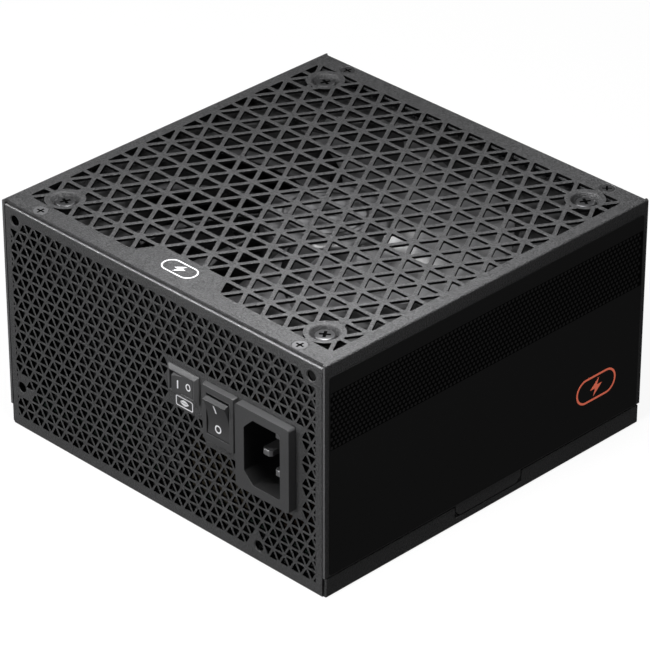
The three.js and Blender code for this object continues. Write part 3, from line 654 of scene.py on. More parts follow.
topGrille = {
    "pitch": 10.0, "row": 8.52, "rib": 1.5, "soft": 0.4, "softSteps": 2, "flare": 0.12,
    "window": (-70.3, 70.3, -67.25, 67.25), "rows": 16, "columns": 18, "start": (-90.0, -68.16, 0.0),
    "clearance": 0.4, "badgeArea": (-16.5, 16.5, -70.0, -62.0),
}
dimple = {
    "at": 60.3, "rim": 4.9, "floor": 4.0, "deep": 3.0, "hole": 1.95, "plainRing": 6.9, "skin": 0.8, "roll": 0.4,
}
coverScrew = {"x": 60.2, "y": 71.1, "head": 2.6, "hole": 1.75}


def makeCover():
    half, height, sheet = case["half"], case["height"], case["sheet"]
    low = case["tabLow"]
    section = foldedStrip([(half, low), (half, height), (-half, height), (-half, low)],
                          sheet, case["bend"], case["bendSteps"])
    cover = prism("topCoverShell", section, -half, half, "XZ")
    chamfer = case["tabChamfer"]
    foot = case["wallFoot"]
    start, end = case["tabStart"], case["tabEnd"]
    below = low - 1
    front = [(-half - 1, below), (start + chamfer, below), (start + chamfer, low), (start, low + chamfer),
             (start, foot), (-half - 1, foot)]
    rear = [(half + 1, below), (end - chamfer, below), (end - chamfer, low), (end, low + chamfer),
            (end, foot), (half + 1, foot)]
    for outline in (front, rear):
        combine(cover, prism("footCut", outline, -half - 1, half + 1, "YZ"))
    side, edge = half - 1.05, half - case["plateInset"]
    for sign in (-1, 1):
        y0, y1 = span(sign, edge, half + 1)
        combine(cover, block("plateEnd", (-side, y0, height - 1.5), (side, y1, height + 1)))
    softened(cover, case["edge"])
    floor = height - dimple["deep"]
    for x, y in fourCorners(dimple["at"], dimple["at"]):
        skin, roll = dimple["skin"], dimple["roll"]
        cup = lathe("cup", [
            (0, floor - sheet), (dimple["floor"] + skin, floor - sheet), (dimple["rim"] + skin, height - 0.6),
            (0, height - 0.6)], 40, (x, y))
        combine(cover, cup, "UNION")
        pit = lathe("pit", [
            (0, floor), (dimple["floor"], floor), (dimple["rim"] - 0.1, height - roll),
            (dimple["rim"] + 0.12, height - roll * 0.3), (dimple["rim"] + roll, height + 0.001),
            (dimple["rim"] + roll, height + 1), (0, height + 1)], 40, (x, y))
        combine(cover, pit)
        combine(cover, rod("bore", dimple["hole"], floor - 2, floor + 1, 24, (x, y)))
    for x, y in fourCorners(coverScrew["x"], coverScrew["y"]):
        head, hole = coverScrew["head"] + 0.3, coverScrew["hole"]
        sink = lathe("sink", [
            (0, height - 2), (hole, height - 2), (hole, height - sheet), (head, height + 0.001),
            (head, height + 1), (0, height + 1)], 28, (x, y))
        combine(cover, sink)
    skipped = flatAreas("skipped", [topGrille["badgeArea"]])
    plain = merged("plain", [
        rod("ring", dimple["plainRing"], -5, 5, 40, place) for place in fourCorners(dimple["at"], dimple["at"])])
    perforate(cover, topGrille, skipped, plain, (0.0, 0.0, 0.0), (0.0, 0.0, height), finishes["powderCoat"])

    # painted shade: the walls of the top grille's holes take the near-black finish
    def holeWall(centre, normal):
        inWindow = abs(centre.x) < 70.5 and abs(centre.y) < 67.5 and height - 1.1 < centre.z < height
        onRing = math.hypot(abs(centre.x) - dimple["at"], abs(centre.y) - dimple["at"]) < dimple["plainRing"] - 0.3
        return inWindow and abs(normal.z) < 0.5 and not onRing

    # painted highlight: the side walls' cut edges at front and back take the lighter, glossier finish
    def wallEdge(centre, normal):
        return abs(centre.y) > half - 0.25 and centre.z < height - 1.2 and abs(normal.y) > 0.3

    markFaces(cover, {"paintedShade": holeWall, "paintedEdgeHighlight": wallEdge})
    return settled(cover, finishes["powderCoat"], "case", ["top_cover"], 18)


rearGrille = {
    "pitch": 4.96, "row": 4.29, "rib": 0.84, "soft": 0.2, "softSteps": 1, "flare": 0.07,
    "window": (-71.2, 70.9, 4.3, 80.7), "rows": 18, "columns": 31, "start": (-79.72, 3.9, 0.0), "clearance": 0.2,
}
mainsPanel = {
    "screwHoles": [(-69, 80), (69, 80), (-69, 16), (45, 6)], "screwHole": 1.8, "screwRing": 4.1,
    "plain": [(2.6, 21.0, 42.6, 59.8), (19.8, 38.0, 34.0, 59.8), (35.2, 64.0, 25.5, 59.8)],
}
inlet = {
    "x": 50.2, "z": 43.05, "wide": 24.2, "tall": 30.9, "proud": 3.3, "bodyWide": 20.0, "bodyTall": 26.9,
    "mouthWide": 16.2, "mouthTall": 24.2, "cut": 4.0, "small": 1.0, "floor": 15.0, "deep": 25.0,
}
powerSwitch = {
    "x": 29.1, "z": 47.9, "bezelWide": 14.9, "bezelTall": 20.9, "proud": 2.0, "bevel": 0.4,
    "bodyWide": 12.6, "bodyTall": 17.6, "bodyDeep": 8.6, "wide": 9.9, "reach": 7.2, "pressed": 2.0,
    "pivot": 0.0, "tilt": 18.0, "keel": 4.0, "cavity": 7.6,
}
ecoSwitch = {
    "x": 11.75, "z": 52.75, "bezelWide": 10.5, "bezelTall": 14.5, "proud": 1.5, "bevel": 1.3,
    "bodyWide": 8.6, "bodyTall": 12.6, "bodyDeep": 6.0, "wide": 6.5, "reach": 5.1, "pressed": 1.5,
    "pivot": 2.7, "tilt": 26.0, "keel": 1.4, "cavity": 4.8,
}
socketRows = {
    "pitch": 4.2, "cell": 3.4, "deep": 8.0, "wall": 0.9, "proud": 0.6, "back": 66.0,
    # name, columns, centre X, centre Z
    "sockets": [
        ("motherboard_socket_18", 9, -44, 48.5), ("motherboard_socket_10", 5, -9, 48.5),
        ("cpu_socket_1", 4, 17, 48.5), ("cpu_socket_2", 4, 42, 48.5),
        ("graphics_socket_1", 4, -50, 33), ("graphics_socket_2", 4, -26, 33), ("graphics_socket_3", 4, -2, 33),
        ("peripheral_socket_1", 3, 24, 33), ("peripheral_socket_2", 3, 44, 33),
    ],
}
standoffs = [(-64, -64), (64, -64), (64, 60), (-64, 60)]


def socketHalf(columns):
    return columns * socketRows["pitch"] / 2 + socketRows["wall"], socketRows["pitch"] + socketRows["wall"]


def makeTray():
    half, sheet, bend, steps = case["half"], case["sheet"], case["trayBend"], case["bendSteps"]
    top, lip, across = case["panelTop"], case["lip"], case["panelHalf"]
    ends = foldedStrip([(-half + lip, top), (-half, top), (-half, 0), (half, 0), (half, top), (half - lip, top)],
                       sheet, bend, steps)
    tray = softened(prism("bottomTrayShell", ends, -across, across, "YZ"), case["edge"])
    flange = case["flangeTop"]
    floor = foldedStrip([(-half, flange), (-half, 0), (half, 0), (half, flange)], sheet, bend, steps)
    inset = half - bend - 0.1
    combine(tray, softened(prism("floor", floor, -inset, inset, "XZ"), case["edge"]), "UNION")
    for side in (-1, 1):
        # a lap behind the output panel's upright seams, so that no light shows through the clearance
        x0, x1 = span(side, across - 1.5, half - sheet - 0.05)
        combine(tray, block("lap", (x0, half - 2, case["wallFoot"] + 1), (x1, half - 0.5, top - 1.5)), "UNION")
    start, end = case["tabStart"] - 0.5, case["tabEnd"] + 0.5
    for side in (-1, 1):
        x0, x1 = span(side, half + 1, half - 2)
        combine(tray, block("notch", (x0, start, case["tabLow"] - 0.5), (x1, end, flange + 1)))
    for x, y in standoffs:
        post = lathe("post", [(0, 0.5), (3.6, 0.5), (3.0, 7.7), (1.5, 7.7), (1.5, 2.5), (0, 2.5)], 24, (x, y))
        combine(tray, post, "UNION")
    cuts = []
    for s, wide, tall in ((inlet, "bodyWide", "bodyTall"), (powerSwitch, "bodyWide", "bodyTall"),
                          (ecoSwitch, "bodyTall", "bodyWide")):
        dx, dz = s[wide] / 2 + 0.3, s[tall] / 2 + 0.3
        cuts.append(block("cut", (s["x"] - dx, -half - 1, s["z"] - dz), (s["x"] + dx, -half + 2, s["z"] + dz)))
    for _, columns, x, z in socketRows["sockets"]:
        dx, dz = (v + 0.3 for v in socketHalf(columns))
        cuts.append(block("cut", (x - dx, half - 2, z - dz), (x + dx, half + 1, z + dz)))
    for x, z in mainsPanel["screwHoles"]:
        radius = mainsPanel["screwHole"]
        hole = lathe("cut", [(0, half - 2), (radius, half - 2), (radius, half - 0.35), (radius + 0.4, half + 0.05),
                             (radius + 0.4, half + 1), (0, half + 1)], 28)
        hole.data.transform(Matrix.Translation((x, 0, z)) @ Matrix.Rotation(quarterTurn, 4, "X"))
        cuts.append(hole)
    for x, y in fourCorners(coverScrew["x"], coverScrew["y"]):
        cuts.append(prism("cut", ellipse(x, y, coverScrew["hole"], coverScrew["hole"], 24), 80, 86))
    combine(tray, merged("cuts", cuts))
    rings = [(x, z, mainsPanel["screwRing"]) for x, z in mainsPanel["screwHoles"]]
    skipped = flatAreas("skipped", mainsPanel["plain"], rings)
    plain = block("plain", (200, 200, -1), (201, 201, 1))
    perforate(tray, rearGrille, skipped, plain, (quarterTurn, 0.0, 0.0), (0.0, -half, 0.0), finishes["powderCoat"])

    # painted shade: the walls of the rear grille's holes take the near-black finish
    def holeWall(centre, normal):
        inWindow = abs(centre.x) < 71.4 and 4 < centre.z < 81 and -half < centre.y < -half + sheet
        return inWindow and abs(normal.y) < 0.5

    # painted highlight: the panels' top folds take the lighter, glossier finish
    def topFold(centre, normal):
        return centre.z > top - 1.4 and abs(normal.y) > 0.25 and normal.z > 0.25

    markFaces(tray, {"paintedShade": holeWall, "paintedEdgeHighlight": topFold})
    return settled(tray, finishes["powderCoat"], "case", ["bottom_tray"])


makeCover()
print("cover made")
makeTray()
print("tray made")


# printed films and marks

film = {"half": 73.0, "low": 8.0, "high": 81.0, "thick": 0.2, "clear": 0.02, "corner": 0.8}
band = {"pitch": 1.782, "row": 1.59, "dot": 0.6, "low": 55.3, "rows": 13, "half": 72.2, "thick": 0.03}
boltOutline = [(0.9, 3.2), (-1.9, -0.5), (-0.25, -0.5), (-0.9, -3.2), (1.9, 0.6), (0.25, 0.6)]


def stadium(x, y, wide, tall):
    return centred(x, y, wide, tall, tall / 2 - 0.001, 12)


def frameOf(name, outer, inner, low, high, plane="XY"):
    return combine(prism(name, outer, low, high, plane), prism("hole", inner, low - 1, high + 1, plane))


def boltMark(name, x, y, wide, tall, line, low, high, plane="XY"):
    # a lozenge with round ends round a lightning bolt
    ring = frameOf(name, stadium(x, y, wide, tall), stadium(x, y, wide - 2 * line, tall - 2 * line), low, high, plane)
    size = tall / 9.5
    bolt = prism("bolt", [(x + a * size * 1.5, y + b * size) for a, b in boltOutline], low, high, plane)
    return merged(name, [ring, bolt])


def makeFilms():
    for side, label in ((1, "right"), (-1, "left")):
        inner = case["half"] + film["clear"]
        outer = inner + film["thick"]
        x0, x1 = span(side, inner, outer)
        d0, d1 = span(side, outer, outer + band["thick"])
        plate = prism("sideFilm" + label.capitalize(),
                      rectangle(-film["half"], film["half"], film["low"], film["high"], film["corner"]), x0, x1, "YZ")
        settled(plate, finishes["film"], "case", ["side_film_" + label])
        dot = prism("dot", ellipse(0, 0, band["dot"], band["dot"], 10), d0, d1, "YZ")
        columns = int(2 * band["half"] / band["pitch"])
        reach, margin = film["half"] - 0.3, 0.8
        ground = prism("filmBandGround" + label.capitalize(), rectangle(
            -reach, reach, band["low"] - margin, band["low"] + 12 * band["row"] + margin),
            *span(side, outer, outer + 0.02), "YZ")
        settled(ground, finishes["bandGround"], "case", ())
        dots = newObject("filmBandDots" + label.capitalize(), bpy.data.meshes.new("filmBand"))
        grow(dots, trees["dots"], {
            "Rows": band["rows"], "Columns": columns, "Pitch": band["pitch"], "Row height": band["row"],
            "Start": (0.0, -band["half"], band["low"]), "Along": (0.0, 1.0, 0.0), "Shape": dot,
            "Material": finishes["bandDots"]})
        discard(dot)
        settled(dots, finishes["bandDots"], "case", ())
        emblem = boltMark("emblem", side * 52, 24, 19.5, 9.6, 0.75, d0, d1 + 0.001, "YZ")
        emblem.name = "sideEmblem" + label.capitalize()
        settled(emblem, finishes["orangePrint"], "case", ())
    badge = boltMark("topBadgePrint", 0, -65.35, 14.3, 7.0, 0.42, case["height"] + 0.02, case["height"] + 0.1)
    settled(badge, finishes["whitePrint"], "case", ["top_badge"])


makeFilms()
print("films made")


# screws

screw = {
    "panHead": 3.4, "panTall": 1.9, "shank": 1.6, "long": 9.0,
    "panCross": {"reach": 1.9, "arm": 0.52, "deep": 1.2},
    "flatCross": {"reach": 1.6, "arm": 0.34, "deep": 1.0},
    "smallCross": {"reach": 1.5, "arm": 0.34, "deep": 0.8},
}


def cutCross(shape, top, cross):
    # the driver's cross, narrower towards its floor, with its faces marked with near-black painted shade
    reach, arm = cross["reach"], cross["arm"]

    def bar(wide, tall):
        levels = ((0.55, top - cross["deep"]), (1.0, top), (1.0, top + 1))
        return loft("bar", [[(x * wide * share, y * tall, height) for x, y in fourCorners(1, 1)]
                            for share, height in levels])

    def inRecess(centre, normal):
        away = math.hypot(centre.x, centre.y)
        onWall = centre.z < top - 0.02 and away < reach * 1.05 and abs(normal.z) < 0.99
        onFloor = centre.z < top - 0.3 and away < reach
        return centre.z > top - 1.6 and (onWall or onFloor)

    combine(shape, combine(bar(reach, arm), bar(arm, reach), "UNION"))
    markFaces(shape, {"paintedShade": inRecess})


def pointCloud(name, places):
    mesh = bpy.data.meshes.new(name)
    mesh.from_pydata(places, [], [])
    return newObject(name, mesh)


def screwSet(name, places, shape, seed, material, replaced):
    screws = pointCloud(name, places)
    grow(screws, trees["scatter"], {"Shape": shape, "Turn spread": math.pi, "Seed": seed, "Material": material})
    return settled(screws, material, "case", replaced)


def makeScrews():
    head, tall, shank, long = screw["panHead"], screw["panTall"], screw["shank"], screw["long"]
    pan = lathe("pan", [
        (0, -long), (shank, -long), (shank, 0), (head - 0.1, 0), (head, 0.12), (head, tall * 0.6),
        (head * 0.97, tall * 0.78), (head * 0.9, tall * 0.9), (head * 0.8, tall * 0.97),
        (head * 0.6, tall), (0, tall)], 32)
    cutCross(pan, tall, screw["panCross"])
    seat = case["height"] - dimple["deep"] + 0.3
    places = [(x, y, seat) for x, y in fourCorners(dimple["at"], dimple["at"])]
    screwSet("fanScrews", places, pan, 3, finishes["sunkZincPaintedShade"], numbered("fan_screw", 1, 4))
    rim = coverScrew["head"]
    flat = lathe("flat", [(0, -5), (1.3, -5), (1.3, -1.2), (rim - 0.06, -0.06), (rim - 0.1, 0), (0, 0)], 28)
    cutCross(flat, 0, screw["flatCross"])
    top = case["height"] - 0.15
    corners = [(x, y, top) for x, y in fourCorners(coverScrew["x"], coverScrew["y"])]
    screwSet("frontCoverScrews", corners[:2], flat, 5, finishes["zinc"],
             numbered("cover_screw", 1, 2))
    screwSet("rearCoverScrews", corners[2:], flat, 7, finishes["blackSteel"],
             numbered("cover_screw", 3, 4))
    small = lathe("small", [(0, -6), (1.2, -6), (1.2, 0), (2.8, 0), (2.8, 0.7), (2.2, 1.25), (1.4, 1.4), (0, 1.4)], 20)
    cutCross(small, 1.4, screw["smallCross"])
    screwSet("boardScrews", [(x, y, 9.9) for x, y in standoffs], small, 9, finishes["zinc"],
             numbered("board_screw", 1, 4))
    discard(pan, flat, small)


makeScrews()
print("screws made")


# fan

fan = {
    "size": 135.0, "thick": 25.0, "bore": 64.5, "tip": 62.3, "hub": 21.7, "hubTop": 80.6, "blades": 11,
    "top": 81.9, "corner": 7.0, "strut": 3.2, "firstBlade": 6.0,
}
blade = {
    "sweep": 25.0, "chord": 30, "chordLoss": 3, "foot": 65, "footRise": 2.5, "top": 79,
    "thick": 1.3, "thinEdge": 0.35, "camber": 1.2,
}


def makeFanFrame():
    half, top = fan["size"] / 2, fan["top"]
    foot = top - fan["thick"]
    body = prism("fanFrameBody", rectangle(-half, half, -half, half, fan["corner"], 8), foot, top)
    softened(body, 0.5, 2)
    bore = lathe("bore", [
        (0, foot - 1), (fan["bore"], foot - 1), (fan["bore"], top - 2.0), (fan["bore"] + 0.6, top - 0.8),
        (fan["bore"] + 1.6, top + 0.01), (fan["bore"] + 1.6, top + 1), (0, top + 1)], 96)
    combine(body, bore)
    for x, y in fourCorners(dimple["at"], dimple["at"]):
        combine(body, rod("hole", 2.1, foot - 1, top + 1, 24, (x, y)))
    seatTop = foot + 3
    strut = softened(block("strut", (15, -fan["strut"] / 2, foot), (fan["bore"] + 1, fan["strut"] / 2, seatTop)), 0.4)
    struts = newObject("struts", bpy.data.meshes.new("struts"))
    grow(struts, trees["spokes"], {
        "Shape": strut, "Count": 4, "First angle": quarterTurn / 2, "Material": finishes["fanFrame"]})
    discard(strut)
    combine(body, struts, "UNION")
    seat = lathe("seat", [
        (0, foot), (19.6, foot), (20, foot + 0.4), (20, seatTop - 0.4), (19.6, seatTop), (5.2, seatTop),
        (5.2, foot + 16), (3.9, foot + 16), (3.9, seatTop), (0, seatTop)], 48)
    combine(body, seat, "UNION")
    return settled(body, finishes["fanFrame"], "case", ["fan_frame"])


def bladeMesh():
    # a thin swept sheet from hub to tip, cambered, with its leading edge uppermost
    rings, across = 12, 10
    rootRadius = fan["hub"] - 0.9
    bm = bmesh.new()

    def point(i, j, under):
        out, along = i / rings, j / across
        radius = rootRadius + (fan["tip"] - rootRadius) * out
        width = blade["chord"] - blade["chordLoss"] * out
        angle = math.radians(blade["sweep"] * out + (along - 0.5) * width)
        lower = blade["foot"] + blade["footRise"] * out
        swell = math.sin(math.pi * min(1, max(0, along * 0.9 + 0.08)))
        thick = blade["thick"] * (blade["thinEdge"] + (1 - blade["thinEdge"]) * swell)
        z = lower + (blade["top"] - lower) * along + blade["camber"] * math.sin(math.pi * along)
        if under:
            z -= thick
        return bm.verts.new((radius * math.cos(angle), radius * math.sin(angle), z))

    grids = [[[point(i, j, under) for j in range(across + 1)] for i in range(rings + 1)] for under in (False, True)]
    for grid in grids:
        for i in range(rings):
            for j in range(across):
                bm.faces.new((grid[i][j], grid[i + 1][j], grid[i + 1][j + 1], grid[i][j + 1]))
    upper, lower = grids
    rim = [(i, 0) for i in range(rings)] + [(rings, j) for j in range(across)]
    rim += [(i, across) for i in range(rings, 0, -1)] + [(0, j) for j in range(across, 0, -1)]
    for (i, j), (k, l) in zip(rim, rim[1:] + rim[:1]):
        bm.faces.new((upper[i][j], upper[k][l], lower[k][l], lower[i][j]))
    return fromBmesh("blade", bm)


def makeRotor():
    hub, top = fan["hub"], fan["hubTop"]
    foot = fan["top"] - fan["thick"] + 4.6
    inner, roof = hub - 2.2, top - 2
    cap = lathe("fanRotorBody", [
        (0, roof - 0.4), (1.75, roof - 0.4), (1.75, roof - 4.6), (3.2, roof - 4.6), (3.2, roof), (inner, roof),
        (inner, foot), (hub, foot), (hub, top - 1.6), (hub - 0.15, top - 1.1), (hub - 0.55, top - 0.6),
        (hub - 1.1, top - 0.2), (hub - 1.7, top), (16.6, top), (16.3, top - 0.15), (0, top - 0.15)], 72)
    oneBlade = bladeMesh()
    grow(cap, trees["spokes"], {
        "Shape": oneBlade, "Count": fan["blades"], "First angle": math.radians(fan["firstBlade"]),
        "Material": finishes["fanBlade"]})
    discard(oneBlade)
    settled(cap, finishes["fanBlade"], "fan_rotor", ["fan_rotor"], 40)
    low, high = top + 0.05, top + 0.15
    disc = prism("hubLabel", ellipse(0, 0, 15.8, 15.8, 72), low, high)
    settled(disc, finishes["hubLabel"], "fan_rotor", ["fan_hub_label"])
    ring = frameOf("ring", ellipse(0, 0, 14.4, 14.4, 72), ellipse(0, 0, 13.6, 13.6, 72), high, high + 0.04)
    bolt = prism("bolt", [(a * 2.2, b * 2.2) for a, b in boltOutline], high, high + 0.04)
    settled(merged("hubLabelPrint", [ring, bolt]), finishes["darkPrint"], "fan_rotor", ())


makeFanFrame()
makeRotor()
print("fan made")


# mains inlet

def mouthOutline():
    x0, x1 = inlet["x"] - inlet["mouthWide"] / 2, inlet["x"] + inlet["mouthWide"] / 2
    z0, z1 = inlet["z"] - inlet["mouthTall"] / 2, inlet["z"] + inlet["mouthTall"] / 2
    cut, small = inlet["cut"], inlet["small"]
    points = [(x0, z0 + cut), (x0 + cut, z0), (x1, z0), (x1, z1), (x0 + cut, z1), (x0, z1 - cut)]
    return rounded(points, [0.8, 0.8, small, small, 0.8, 0.8], 3)


contacts = {
    # name, centre X, centre Z, how far the tip stands behind the panel
    "blades": [("earth_blade", 48.9, 43.2, 0.0), ("line_blade", 52.9, 50.2, 1.5), ("neutral_blade", 52.9, 36.2, 1.5)],
    "halfX": 2.1, "halfZ": 1.1, "tail": 30.0,
}


def makeInlet():
    half = case["half"]
    x, z = inlet["x"], inlet["z"]
    face = half + inlet["proud"]
    housing = prism("inletBody", centred(x, z, inlet["wide"], inlet["tall"], 1.0), half + 0.2, face, "XZ")
    body = prism("body", centred(x, z, inlet["bodyWide"], inlet["bodyTall"], 0.6),
                 half - inlet["deep"], half + 0.7, "XZ")
    combine(housing, body, "UNION")
    combine(housing, prism("mouth", mouthOutline(), half - inlet["floor"], face + 1, "XZ"))
    softened(housing, 0.2, 2)
    y0, y1 = -half + inlet["floor"] - 1, -half + inlet["deep"] + 1
    for _, bx, bz, _ in contacts["blades"]:
        dx, dz = contacts["halfX"] + 0.2, contacts["halfZ"] + 0.2
        combine(housing, block("slot", (bx - dx, y0, bz - dz), (bx + dx, y1, bz + dz)))
    halfWide, halfTall = inlet["mouthWide"] / 2 + 0.1, inlet["mouthTall"] / 2 + 0.1

    # painted shade: faces inside the inlet's mouth take the dark moulding
    def inMouth(centre, normal):
        return abs(centre.x - x) < halfWide and abs(centre.z - z) < halfTall and 0.25 - face < centre.y < 0

    markFaces(housing, {"paintedShadeMoulding": inMouth})
    settled(housing, finishes["moulded"], "case", ["inlet_housing"])
    metal = []
    for _, bx, bz, tip in contacts["blades"]:
        y0, y1 = -half + tip, -half + contacts["tail"]
        dx = contacts["halfX"]
        nose = dx * 0.6
        outline = [(bx - dx, y1), (bx - dx, y0 + 1), (bx - nose, y0), (bx + nose, y0), (bx + dx, y0 + 1), (bx + dx, y1)]
        metal.append(softened(prism("contact", outline, bz - contacts["halfZ"], bz + contacts["halfZ"]), 0.15, 1))
    settled(merged("inletContacts", metal), finishes["nickel"], "case",
            [name for name, *_ in contacts["blades"]])


# rocker switches, drawn about their pivot with the mouth towards -Y and the raised end towards +Z

def rockerFace(s):
    # the hollow arc of the rocker's face, halfway through its swing: out as a function of along
    half = math.radians(s["tilt"] / 2)
    level = s["pivot"] + s["pressed"]
    far = math.hypot(s["reach"], level)
    rest = math.atan2(level, s["reach"]) + half
    end, rise = far * math.cos(rest), far * math.sin(rest)
    sag = rise - level / math.cos(half)
    radius = (end * end + sag * sag) / (2 * sag)
    return end, lambda along: rise - math.sqrt(radius * radius - along * along) + radius - sag


def atRest(s, along, out):
    half = math.radians(s["tilt"] / 2)
    return (-(out * math.cos(half) + along * math.sin(half)), along * math.cos(half) - out * math.sin(half))


def rockerOutline(s):
    # side view in Y and Z; the pressed half lies level with the bezel
    half = math.radians(s["tilt"] / 2)
    level = s["pivot"] + s["pressed"]
    end, face = rockerFace(s)
    steps = 12
    arc = [(along, face(along)) for along in (end * (2 * k / steps - 1) for k in range(steps + 1))]
    foot = (end + level * math.sin(half), face(end) - level * math.cos(half))
    keel = (s["reach"] * 0.35, -s["keel"])
    outline = arc + [foot, keel, (-keel[0], keel[1]), (-foot[0], foot[1])]
    return [atRest(s, along, out) for along, out in outline]


def pin(radius, half):
    return prism("pin", ellipse(0, 0, radius, radius, 20), -half, half, "YZ")


def placeSwitch(piece, s, turn):
    place = Matrix.Translation((s["x"], -case["half"] + s["pivot"], s["z"]))
    piece.data.transform(place @ Matrix.Rotation(turn, 4, "Y"))
    return piece


def cutUp(piece):
    # extra cross edges so that a flat mark can follow a curved face
    bm = bmesh.new()
    bm.from_mesh(piece.data)
    low = min(v.co.y for v in bm.verts)
    high = max(v.co.y for v in bm.verts)
    parts = 6
    for k in range(1, parts):
        everything = bm.verts[:] + bm.edges[:] + bm.faces[:]
        level = low + (high - low) * k / parts
        bmesh.ops.bisect_plane(bm, geom=everything, plane_co=(0, level, 0), plane_no=(0, 1, 0))
    bm.to_mesh(piece.data)
    bm.free()
    return piece


def makeSwitch(s, turn, bezelName, rockerName, bezelNode, rockerNode, body, rockerFinish, bezelFinish):
    outline = rockerOutline(s)
    rocker = prism(rockerName, outline, -s["wide"] / 2, s["wide"] / 2, "YZ")
    softened(rocker, 0.14, 2, 30)
    combine(rocker, pin(0.9, s["wide"] / 2 + 0.6), "UNION")
    settled(placeSwitch(rocker, s, turn), rockerFinish, body, [rockerNode])
    seat = -s["pivot"] - 0.2
    rings = []
    for y, inset in ((seat, 0), (seat - s["proud"] * 0.35, 0.06), (seat - s["proud"], s["bevel"])):
        dx, dz = s["bezelWide"] / 2 - inset, s["bezelTall"] / 2 - inset
        rings.append([(a, y, b) for a, b in rectangle(-dx, dx, -dz, dz, 0.5, 3)])
    bezel = loft(bezelName, rings)
    dx, dz = s["bodyWide"] / 2, s["bodyTall"] / 2
    combine(bezel, block("body", (-dx, seat - 0.3, -dz), (dx, -s["pivot"] + s["bodyDeep"], dz)), "UNION")
    mx, mz = s["wide"] / 2 + 0.25, s["reach"] + 0.3
    combine(bezel, block("mouth", (-mx, -s["pivot"] - 10, -mz), (mx, -s["pivot"] + s["cavity"], mz)))
    softened(bezel, 0.12, 2, 25)
    combine(bezel, pin(1.2, s["wide"] / 2 + 0.85))
    settled(placeSwitch(bezel, s, turn), bezelFinish, "case", [bezelNode])


def mark(shape, along, s, turn):
    # wraps a flat mark onto the rocker's face, centred that far along it
    face = rockerFace(s)[1]
    for vertex in shape.data.vertices:
        x, t, lift = vertex.co
        y, z = atRest(s, t + along, face(t + along) + lift)
        vertex.co = (x, y, z)
    return placeSwitch(shape, s, turn)


marks = {"low": -0.03, "high": 0.03, "line": 0.5, "thin": 0.42}


def makeSwitches():
    low, high, line, thin = marks["low"], marks["high"], marks["line"], marks["thin"]
    makeSwitch(powerSwitch, 0.0, "powerBezel", "powerRocker", "power_switch_frame", "power_rocker",
               "power_rocker", finishes["rocker"], finishes["moulded"])
    on = cutUp(prism("on", rectangle(-0.75, -0.05, -1.8, 1.8, 0.15, 2), low, high))
    off = frameOf("off", ellipse(-0.3, 0, 1.45, 1.45, 32), ellipse(-0.3, 0, 1.45 - line, 1.45 - line, 32), low, high)
    powerMarks = merged("powerMarks", [mark(on, 4.0, powerSwitch, 0.0), mark(off, -4.0, powerSwitch, 0.0)])
    settled(powerMarks, finishes["whitePrint"], "power_rocker", ())
    makeSwitch(ecoSwitch, -quarterTurn, "ecoBezel", "ecoRocker", "eco_switch_frame", "eco_rocker",
               "eco_rocker", finishes["ecoRocker"], finishes["bezel"])
    left = prism("left", rectangle(-1.5, 1.5, -thin / 2, thin / 2, 0.1, 2), low, high)
    right = frameOf("right", ellipse(0, 0, 1.35, 1.1, 28), ellipse(0, 0, 1.35 - thin, 1.1 - thin, 28), low, high)
    ecoMarks = merged("ecoMarks", [mark(left, 2.1, ecoSwitch, -quarterTurn),
                                   mark(right, -1.9, ecoSwitch, -quarterTurn)])
    settled(ecoMarks, finishes["whitePrint"], "eco_rocker", ())


leaf = {"left": 9.3, "long": 4.2, "z": 44.9, "swell": 1.05, "steps": 12, "low": 0.005, "high": 0.05}


def leafMark():
    # a leaf in a rounded frame, printed on the panel under the small switch
    face = case["half"]
    low, high = face + leaf["low"], face + leaf["high"]
    ring = frameOf("leafMark", rectangle(7.4, 15.4, 43.0, 46.8, 0.7), rectangle(7.8, 15.0, 43.4, 46.4, 0.4),
                   low, high, "XZ")
    steps = leaf["steps"]
    there = [(k / steps, leaf["swell"]) for k in range(steps + 1)]
    back = [(1 - k / steps, -leaf["swell"]) for k in range(1, steps)]
    outline = [(leaf["left"] + leaf["long"] * t, leaf["z"] + swell * math.sin(math.pi * t))
               for t, swell in there + back]
    body = prism("leaf", outline, low, high, "XZ")
    combine(body, prism("vein", rectangle(9.0, 12.6, 44.8, 45.0), face - 1, face + 1, "XZ"))
    settled(merged("leafMark", [ring, body]), finishes["whitePrint"], "case", ())


makeInlet()
makeSwitches()
leafMark()
print("mains end made")


# output sockets

